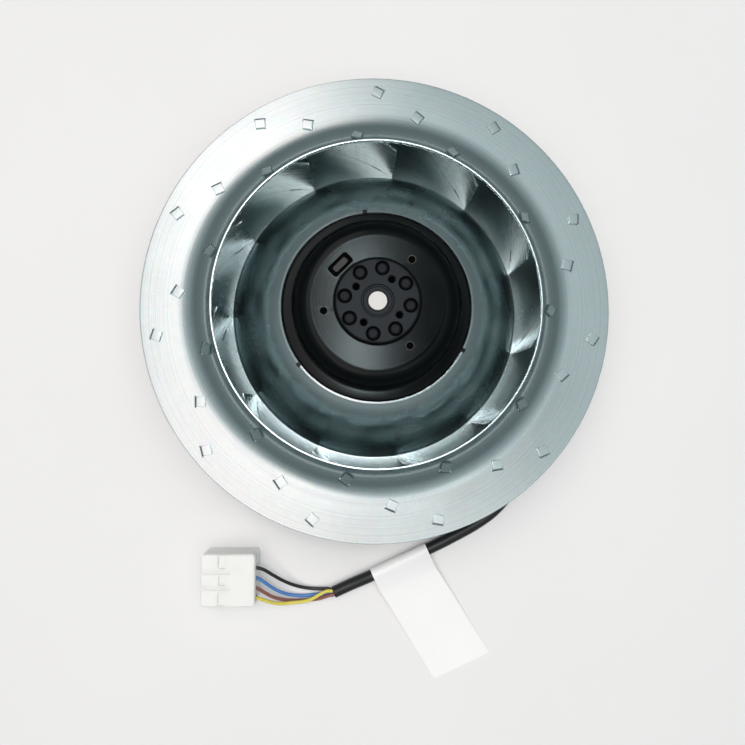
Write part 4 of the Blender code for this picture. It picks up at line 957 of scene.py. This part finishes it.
PLUG_R = 3.6
PLUG_L = 7.8
LEAD_HOLE_R = 3.02
COLLAR_R = 5.0
COLLAR_T = 2.5
TAPER_ROOT_R = 4.4
TAPER_TIP_R = 3.7
TAPER_L = 20
GROOVES = 5
FLANGE_FACE = FLANGE_R + 0.1
GLAND_END = FLANGE_FACE + COLLAR_T + TAPER_L + 0.2


def taper_radius(share):
    return TAPER_ROOT_R + (TAPER_TIP_R - TAPER_ROOT_R) * share


taper_start = FLANGE_FACE + COLLAR_T
taper_end = taper_start + TAPER_L
gland_line = [(0, FLANGE_FACE - PLUG_L), (PLUG_R, FLANGE_FACE - PLUG_L), (PLUG_R, FLANGE_FACE),
              (COLLAR_R - 0.3, FLANGE_FACE), (COLLAR_R, FLANGE_FACE + 0.3), (COLLAR_R, taper_start - 0.3),
              (COLLAR_R - 0.3, taper_start), (TAPER_ROOT_R, taper_start)]
for groove in range(GROOVES):
    low = 0.14 + 0.15 * groove
    for share, depth in ((low, 0), (low + 0.015, 0.5), (low + 0.055, 0.5), (low + 0.07, 0)):
        gland_line.append((taper_radius(share) - depth, taper_start + TAPER_L * share))
gland_line += [(TAPER_TIP_R, taper_end - 0.2), (TAPER_TIP_R - 0.2, taper_end), (LEAD_HOLE_R, taper_end),
               (LEAD_HOLE_R, taper_end - 3), (0, taper_end - 3)]
gland = turn("cable_gland_moulded", gland_line, 48)
place_at(gland, Matrix.Translation((0, 0, GLAND_Z * MM)) @ turned_by(EXIT_AZIMUTH)
         @ Matrix.Rotation(math.radians(90), 4, "Y"))
soften(gland, 0.08)
finish_piece(gland, black_plastic, "stator", ["cable_gland"])


# Flag label
# A strip of white vinyl film, left bare. It is folded once round the lead and stuck to itself behind
# the fold, so it stands off like a flag and droops to the table; its lower half sits a little askew.

LABEL_AT = (13.1, -127.2, 4.2)
LABEL_TURN = -65.7
LABEL_SKEW = 7
LABEL_W = 31
LABEL_TAIL = 62
LABEL_LOOP_R = 3.45
LABEL_NECK = 5
LABEL_FILM = 0.22
LABEL_FAR_Z = 0.62
LABEL_ASKEW = 0.9

# Vinyl label film: white, smooth and half glossy, with hardly visible ripples where the halves stick
vinyl, node, shader, place, _ = patterned(
    "white_vinyl_film", "#F4F4F3", 0, 0.4, {"Scale": 60.0, "Detail": 2.0}, ("#F1F1F0", "#F7F7F6"),
    relief=(0.35, 0.6))
ripples = shader.inputs["Normal"].links[0].from_socket
fibre = node("TexNoise", sockets={"Vector": place, "Scale": 1500.0, "Detail": 2.0})
fibres = node("Bump", sockets={"Height": fibre, "Strength": 0.1, "Distance": 0.02 * MM, "Normal": ripples})
feed(shader, Normal=fibres)

label_joint = LABEL_LOOP_R + LABEL_NECK
tail_steps = 14
upper = []
lower = []
for step in range(tail_steps + 1):
    share = step / tail_steps
    reach = label_joint + (LABEL_TAIL - label_joint) * share
    fall = -(LABEL_AT[2] - LABEL_FAR_Z) * (1 - (1 - share)**2.2)
    upper.append((reach, 0, fall + 0.14))
    lower.append((reach, 0, fall - 0.14))
loop = []
for step in range(13):
    turned = math.radians(50 + 260 * step / 12)
    loop.append((LABEL_LOOP_R * math.cos(turned), 0, LABEL_LOOP_R * math.sin(turned)))
strip_line = [*reversed(upper), *loop, *lower]
label = start_line("flag_label_film", strip_line[0])
draw_line(strip_line)
bpy.ops.mesh.select_all(action="SELECT")
bpy.ops.mesh.extrude_region_move(TRANSFORM_OT_translate={"value": (0, LABEL_W * MM, 0)})
bpy.ops.mesh.select_all(action="SELECT")
bpy.ops.transform.translate(value=(0, -LABEL_W / 2 * MM, 0))
shape = bmesh.from_edit_mesh(label.data)
for vert in shape.verts:
    past = max(0, vert.co.x / MM - label_joint)
    vert.co.y += past * math.tan(math.radians(LABEL_SKEW)) * MM
vert_order = {(round(x, 4), round(z, 4)) for x, y, z in lower}
for vert in shape.verts:
    if (round(vert.co.x / MM, 4), round(vert.co.z / MM, 4)) in vert_order:
        past = (vert.co.x / MM - label_joint) / (LABEL_TAIL - label_joint)
        vert.co.y += LABEL_ASKEW * past * MM
        vert.co.x += 0.5 * past * MM
bmesh.update_edit_mesh(label.data)
close_shape()
modify(label, "SOLIDIFY", thickness=LABEL_FILM * MM, offset=0)
place_at(label, Matrix.Translation(Vector(LABEL_AT) * MM) @ turned_by(LABEL_TURN))
finish_piece(label, vinyl, "stator", ["flag_label"])


# Lead sleeve
# A soft black PVC sleeve of 6 mm over the four wires. It leaves the gland, runs on the table round under
# the wheel's rim and ends cut off square, a little way before the connector.

SLEEVE_R = 3.0
SLEEVE_BORE_R = 2.35
BORE_DEPTH = 4
SLEEVE_ROUTE = [
    (59.6, -42.0, 5.0), (65.8, -48.4, 4.0), (71.0, -56.6, 3.2), (74.4, -66.0, 3.1), (75.4, -76.2, 3.1),
    (73.2, -86.6, 3.1), (67.8, -95.6, 3.1), (61.4, -102.2, 3.1), (54.1, -107.3, 3.1), (48.2, -110.7, 3.2),
    (42.0, -113.8, 3.6), (35.0, -117.2, 4.0), (28.2, -120.3, 4.2), (20.4, -123.9, 4.2), (13.1, -127.2, 4.2),
    (5.8, -130.5, 4.2), (-2.0, -134.0, 4.2), (-7.4, -136.4, 3.6), (-12.2, -138.5, 3.1), (-16.8, -140.5, 3.1),
    (-21.1, -142.4, 3.1),
]

# Soft PVC, extruded: near black and satin, with faint lengthwise drag lines and pale rubbing
sleeve_pvc, node, shader, place, _ = patterned("soft_black_pvc", "#15181A", 0, 0.42,
                                               {"Scale": 140.0, "Detail": 4.0}, ("#0F1214", "#1C2022"))
round_uv = node("UVMap", {"uv_map": "along"}).outputs["UV"]
drag = node("Mapping", sockets={"Vector": round_uv, "Scale": (40, 60, 1)})
drag_lines = node("TexNoise", sockets={"Vector": drag, "Scale": 1.0, "Detail": 3.0})
gloss = node("MapRange", sockets={"Value": drag_lines, "To Min": 0.36, "To Max": 0.52})
drag_bump = node("Bump", sockets={"Height": drag_lines, "Strength": 0.3, "Distance": 0.05 * MM})
feed(shader, Roughness=gloss, Normal=drag_bump)


def smooth_route(points, pitch):
    """Points an even pitch apart on a smooth curve through a route, all in metres."""
    ends = [points[0] * 2 - points[1]] + points + [points[-1] * 2 - points[-2]]
    dense = []
    for i in range(len(points) - 1):
        before, start, stop, after = ends[i:i + 4]
        for step in range(24):
            t = step / 24
            bend = 2 * before - 5 * start + 4 * stop - after
            twist = -before + 3 * start - 3 * stop + after
            dense.append(0.5 * (2 * start + (stop - before) * t + bend * t**2 + twist * t**3))
    dense.append(points[-1])
    lengths = [0.0]
    for start, stop in zip(dense, dense[1:]):
        lengths.append(lengths[-1] + (stop - start).length)
    count = round(lengths[-1] / pitch)
    spread = []
    reached = 0
    for index in range(count + 1):
        wanted = lengths[-1] * index / count
        while reached < len(lengths) - 2 and lengths[reached + 1] < wanted:
            reached += 1
        share = (wanted - lengths[reached]) / (lengths[reached + 1] - lengths[reached])
        spread.append(dense[reached].lerp(dense[reached + 1], min(1, share)))
    return spread


def extruded_tube(name, points, radius, sides, bore=0.0, bore_depth=0.0):
    """A round tube along points, in metres, with a UV map round and along it, and perhaps a hollow end."""
    shape = bmesh.new()
    around = shape.loops.layers.uv.new("along")
    normal = Vector((0, 0, 1))
    rings = []
    distance = 0.0
    stations = [(point, radius) for point in points]
    if bore:
        back = (points[-2] - points[-1]).normalized()
        stations += [(points[-1], bore), (points[-1] + back * bore_depth, bore)]
    for index, (point, ring_radius) in enumerate(stations):
        near = min(index, len(points) - 1)
        tangent = (points[min(near + 1, len(points) - 1)] - points[max(near - 1, 0)]).normalized()
        normal = (normal - tangent * normal.dot(tangent)).normalized()
        side = tangent.cross(normal)
        if index:
            distance += (point - stations[index - 1][0]).length
        ring = []
        for step in range(sides):
            turned = 2 * math.pi * step / sides
            offset = normal * math.cos(turned) + side * math.sin(turned)
            ring.append(shape.verts.new(point + offset * ring_radius))
        rings.append((ring, distance))
    for (ring, low), (next_ring, high) in zip(rings, rings[1:]):
        for step in range(sides):
            after = (step + 1) % sides
            face = shape.faces.new((ring[step], ring[after], next_ring[after], next_ring[step]))
            corners = ((step, low), (step + 1, low), (step + 1, high), (step, high))
            for corner, (u, v) in zip(face.loops, corners):
                corner[around].uv = (u / sides, v)
    shape.faces.new(reversed(rings[0][0]))
    shape.faces.new(rings[-1][0])
    bmesh.ops.recalc_face_normals(shape, faces=shape.faces)
    mesh = bpy.data.meshes.new(name)
    shape.to_mesh(mesh)
    shape.free()
    tube = bpy.data.objects.new(name, mesh)
    bpy.context.scene.collection.objects.link(tube)
    return tube


gland_tip = polar(FLANGE_FACE + COLLAR_T + TAPER_L - 1.5, EXIT_AZIMUTH, GLAND_Z)
sleeve_exit = polar(GLAND_END, EXIT_AZIMUTH, GLAND_Z)
sleeve_points = smooth_route([sleeve_exit] + [Vector(point) * MM for point in SLEEVE_ROUTE], 2 * MM)
sleeve_points = [gland_tip] + sleeve_points
sleeve = extruded_tube("lead_sleeve", sleeve_points, SLEEVE_R * MM, 32, SLEEVE_BORE_R * MM, BORE_DEPTH * MM)
finish_piece(sleeve, sleeve_pvc, "stator", ["cable_sleeve"])


# Connector
# A five-way plug housing of natural nylon, pale and slightly see-through, 5 mm from way to way. Two corner
# blocks and a latch stand at its mating end; four crimp contacts hold the wires and one way is empty.

HOUSING_LOW = (-86.5, -145.35)
HOUSING_L = 26.8
HOUSING_W = 25.7
HOUSING_H = 17
HOUSING_CORNER = 1.8
HOUSING_EDGE = 1.0
WAY_Z = 11
WAY_PITCH = 5
WAY_R = 1.6
WAY_MOUTH_R = 1.95
BLOCK_L = 8.6
BLOCK_POCKET = 3.6
POCKET_DEPTH = 1.3
POCKET_WALL = 0.6
LATCH_W = 6.4
LATCH_L = 14.4
LATCH_SLOT = 1.3
LATCH_RIB = 1.2

# Natural nylon, moulded: milky, lets light a little way in, with soft flow marks and a dull gloss
nylon, _, shader, _, _ = patterned("natural_nylon", "#ECEDE8", 0, 0.42, {"Scale": 110.0, "Detail": 3.0},
                                   ("#E8E9E4", "#F1F2EE"), relief=(0.2, 0.2))
shader.inputs["Subsurface Weight"].default_value = 0.8
shader.inputs["Subsurface Radius"].default_value = (1.0, 1.0, 0.9)
shader.inputs["Subsurface Scale"].default_value = 5 * MM

# Tin on brass: soft silvery, with fine die scratches
tinned = patterned("tinned_brass", "#C7C4BB", 1, 0.3, {"Scale": 1800.0, "Detail": 3.0}, gloss=(0.22, 0.42))[0]

housing_mid = Vector((HOUSING_LOW[0] + HOUSING_L / 2, HOUSING_LOW[1] + HOUSING_W / 2, HOUSING_H / 2))
housing = block("connector_housing_moulded", (HOUSING_L, HOUSING_W, HOUSING_H), HOUSING_CORNER,
                Matrix.Translation(housing_mid * MM))
soften(housing, HOUSING_EDGE, 4)
way_rows = [housing_mid.y + (2 - way) * WAY_PITCH for way in range(5)]
ways = start_tool()
for row in way_rows:
    drill(WAY_R, HOUSING_L + 2, Vector((housing_mid.x, row, WAY_Z)) * MM, 0, 24)
    drill(WAY_MOUTH_R, 1.2, Vector((HOUSING_LOW[0] + HOUSING_L, row, WAY_Z)) * MM, 0, 24)
carve(housing, ways)


def housing_cut(size, corner, at):
    carve(housing, block("housing_cutter", size, corner, Matrix.Translation(Vector(at) * MM)))


pocket_w = (HOUSING_W - LATCH_W) / 2 - LATCH_SLOT - LATCH_RIB - POCKET_WALL
for side in (-1, 1):
    pocket_y = housing_mid.y + side * (HOUSING_W / 2 - POCKET_WALL - pocket_w / 2)
    housing_cut((BLOCK_POCKET, pocket_w, 6), 0.5,
                (HOUSING_LOW[0] + BLOCK_L + BLOCK_POCKET / 2, pocket_y, HOUSING_H - POCKET_DEPTH + 3))
    slot_y = housing_mid.y + side * (LATCH_W + LATCH_SLOT) / 2
    housing_cut((LATCH_L + 2, LATCH_SLOT, 6), 0.4,
                (HOUSING_LOW[0] + LATCH_L / 2 - 1, slot_y, HOUSING_H - 1 + 3))
housing_cut((3.2, LATCH_W - 1.6, 6), 0.4, (HOUSING_LOW[0] + 10.6, housing_mid.y, HOUSING_H - 1.1 + 3))
soften(housing, 0.18, 2)
finish_piece(housing, nylon, "stator", ["connector_housing"])

contacts = [refinish(f"connector_contact_{way}", tinned) for way in range(1, 5)]


# Wires
# Four stranded wires with coloured PVC, from the sleeve's cut end to the connector: black, blue,
# brown, and green and yellow for earth. They cross near the sleeve and bow a little on the way.

WIRE_R = 0.87
WIRE_ROUTES = {
    "wire_black": [
        (-22.2, -141.5, 2.0), (-24.0, -141.0, 1.9), (-28.0, -141.1, 1.5), (-33.0, -140.9, 1.4),
        (-38.0, -139.9, 2.2), (-43.0, -137.9, 4.0), (-47.5, -135.2, 6.3), (-52.0, -131.9, 8.7),
        (-56.0, -129.0, 10.3), (-59.0, -127.8, 10.9), (-61.6, -127.5, 11.0),
    ],
    "wire_blue": [
        (-21.4, -143.5, 2.0), (-24.0, -143.5, 1.9), (-28.0, -143.7, 1.3), (-33.0, -144.3, 1.2),
        (-38.0, -144.6, 1.2), (-43.0, -144.0, 2.0), (-47.5, -142.2, 4.0), (-52.0, -139.0, 7.0),
        (-56.0, -135.3, 9.6), (-59.0, -133.0, 10.8), (-61.6, -132.5, 11.0),
    ],
    "wire_brown": [
        (-21.4, -143.5, 4.2), (-23.8, -143.9, 3.9), (-27.7, -145.6, 2.4), (-32.0, -146.6, 1.3),
        (-38.0, -147.0, 1.0), (-43.0, -146.9, 1.3), (-47.5, -146.0, 2.9), (-52.0, -143.8, 5.9),
        (-56.0, -140.5, 9.2), (-59.0, -138.1, 10.8), (-61.6, -137.5, 11.0),
    ],
    "wire_green_yellow": [
        (-22.2, -141.5, 4.2), (-24.2, -141.4, 4.5), (-27.0, -142.3, 4.7), (-30.6, -144.4, 4.6),
        (-34.0, -146.1, 4.0), (-38.0, -147.1, 3.2), (-43.0, -147.5, 3.4), (-48.0, -147.4, 4.9),
        (-52.2, -146.2, 7.2), (-56.0, -144.2, 9.6), (-59.0, -142.8, 10.8), (-61.6, -142.5, 11.0),
    ],
}

# Wire insulation, PVC: clear strong colours, smooth and half glossy, with slight cloudiness
WIRE_TONES = {
    "wire_black": ("#1C1C1D", "#2B2A29"),
    "wire_blue": ("#3F73B4", "#5C8FD0"),
    "wire_brown": ("#7E5048", "#99685E"),
    "wire_green_yellow": ("#D3C44E", "#E3D75F"),
}
STRIPE_TONE = "#3F8A4C"
STRIPE_HALF = 0.18
sleeve_end_back = (sleeve_points[-2] - sleeve_points[-1]).normalized() * 3 * MM

for index, (name, route) in enumerate(WIRE_ROUTES.items()):
    pvc, node, shader, _, _ = patterned(
        name + "_insulation", WIRE_TONES[name][0], 0, 0.35, {"Scale": 260.0, "Detail": 2.0},
        WIRE_TONES[name], relief=(0.15, 0.03))
    if name == "wire_green_yellow":
        plain = shader.inputs["Base Color"].links[0].from_socket
        round_uv = node("UVMap", {"uv_map": "along"}).outputs["UV"]
        u = node("SeparateXYZ", sockets={0: round_uv}).outputs["X"]
        off = node("Math", {"operation": "SUBTRACT"}, {0: u, 1: 0.5})
        wide = node("Math", {"operation": "ABSOLUTE"}, {0: off})
        stripe = node("Math", {"operation": "LESS_THAN"}, {0: wide, 1: STRIPE_HALF})
        tone = node("Mix", {"data_type": "RGBA"}, {"Factor": stripe, "A": plain, "B": linear(STRIPE_TONE)})
        feed(shader, Base_Color=tone)
    points = [Vector(point) * MM for point in route]
    points = smooth_route([points[0] + sleeve_end_back] + points, 1 * MM)
    wire = extruded_tube(name + "_strand", points, WIRE_R * MM, 20)
    finish_piece(wire, pvc, "stator", [name])
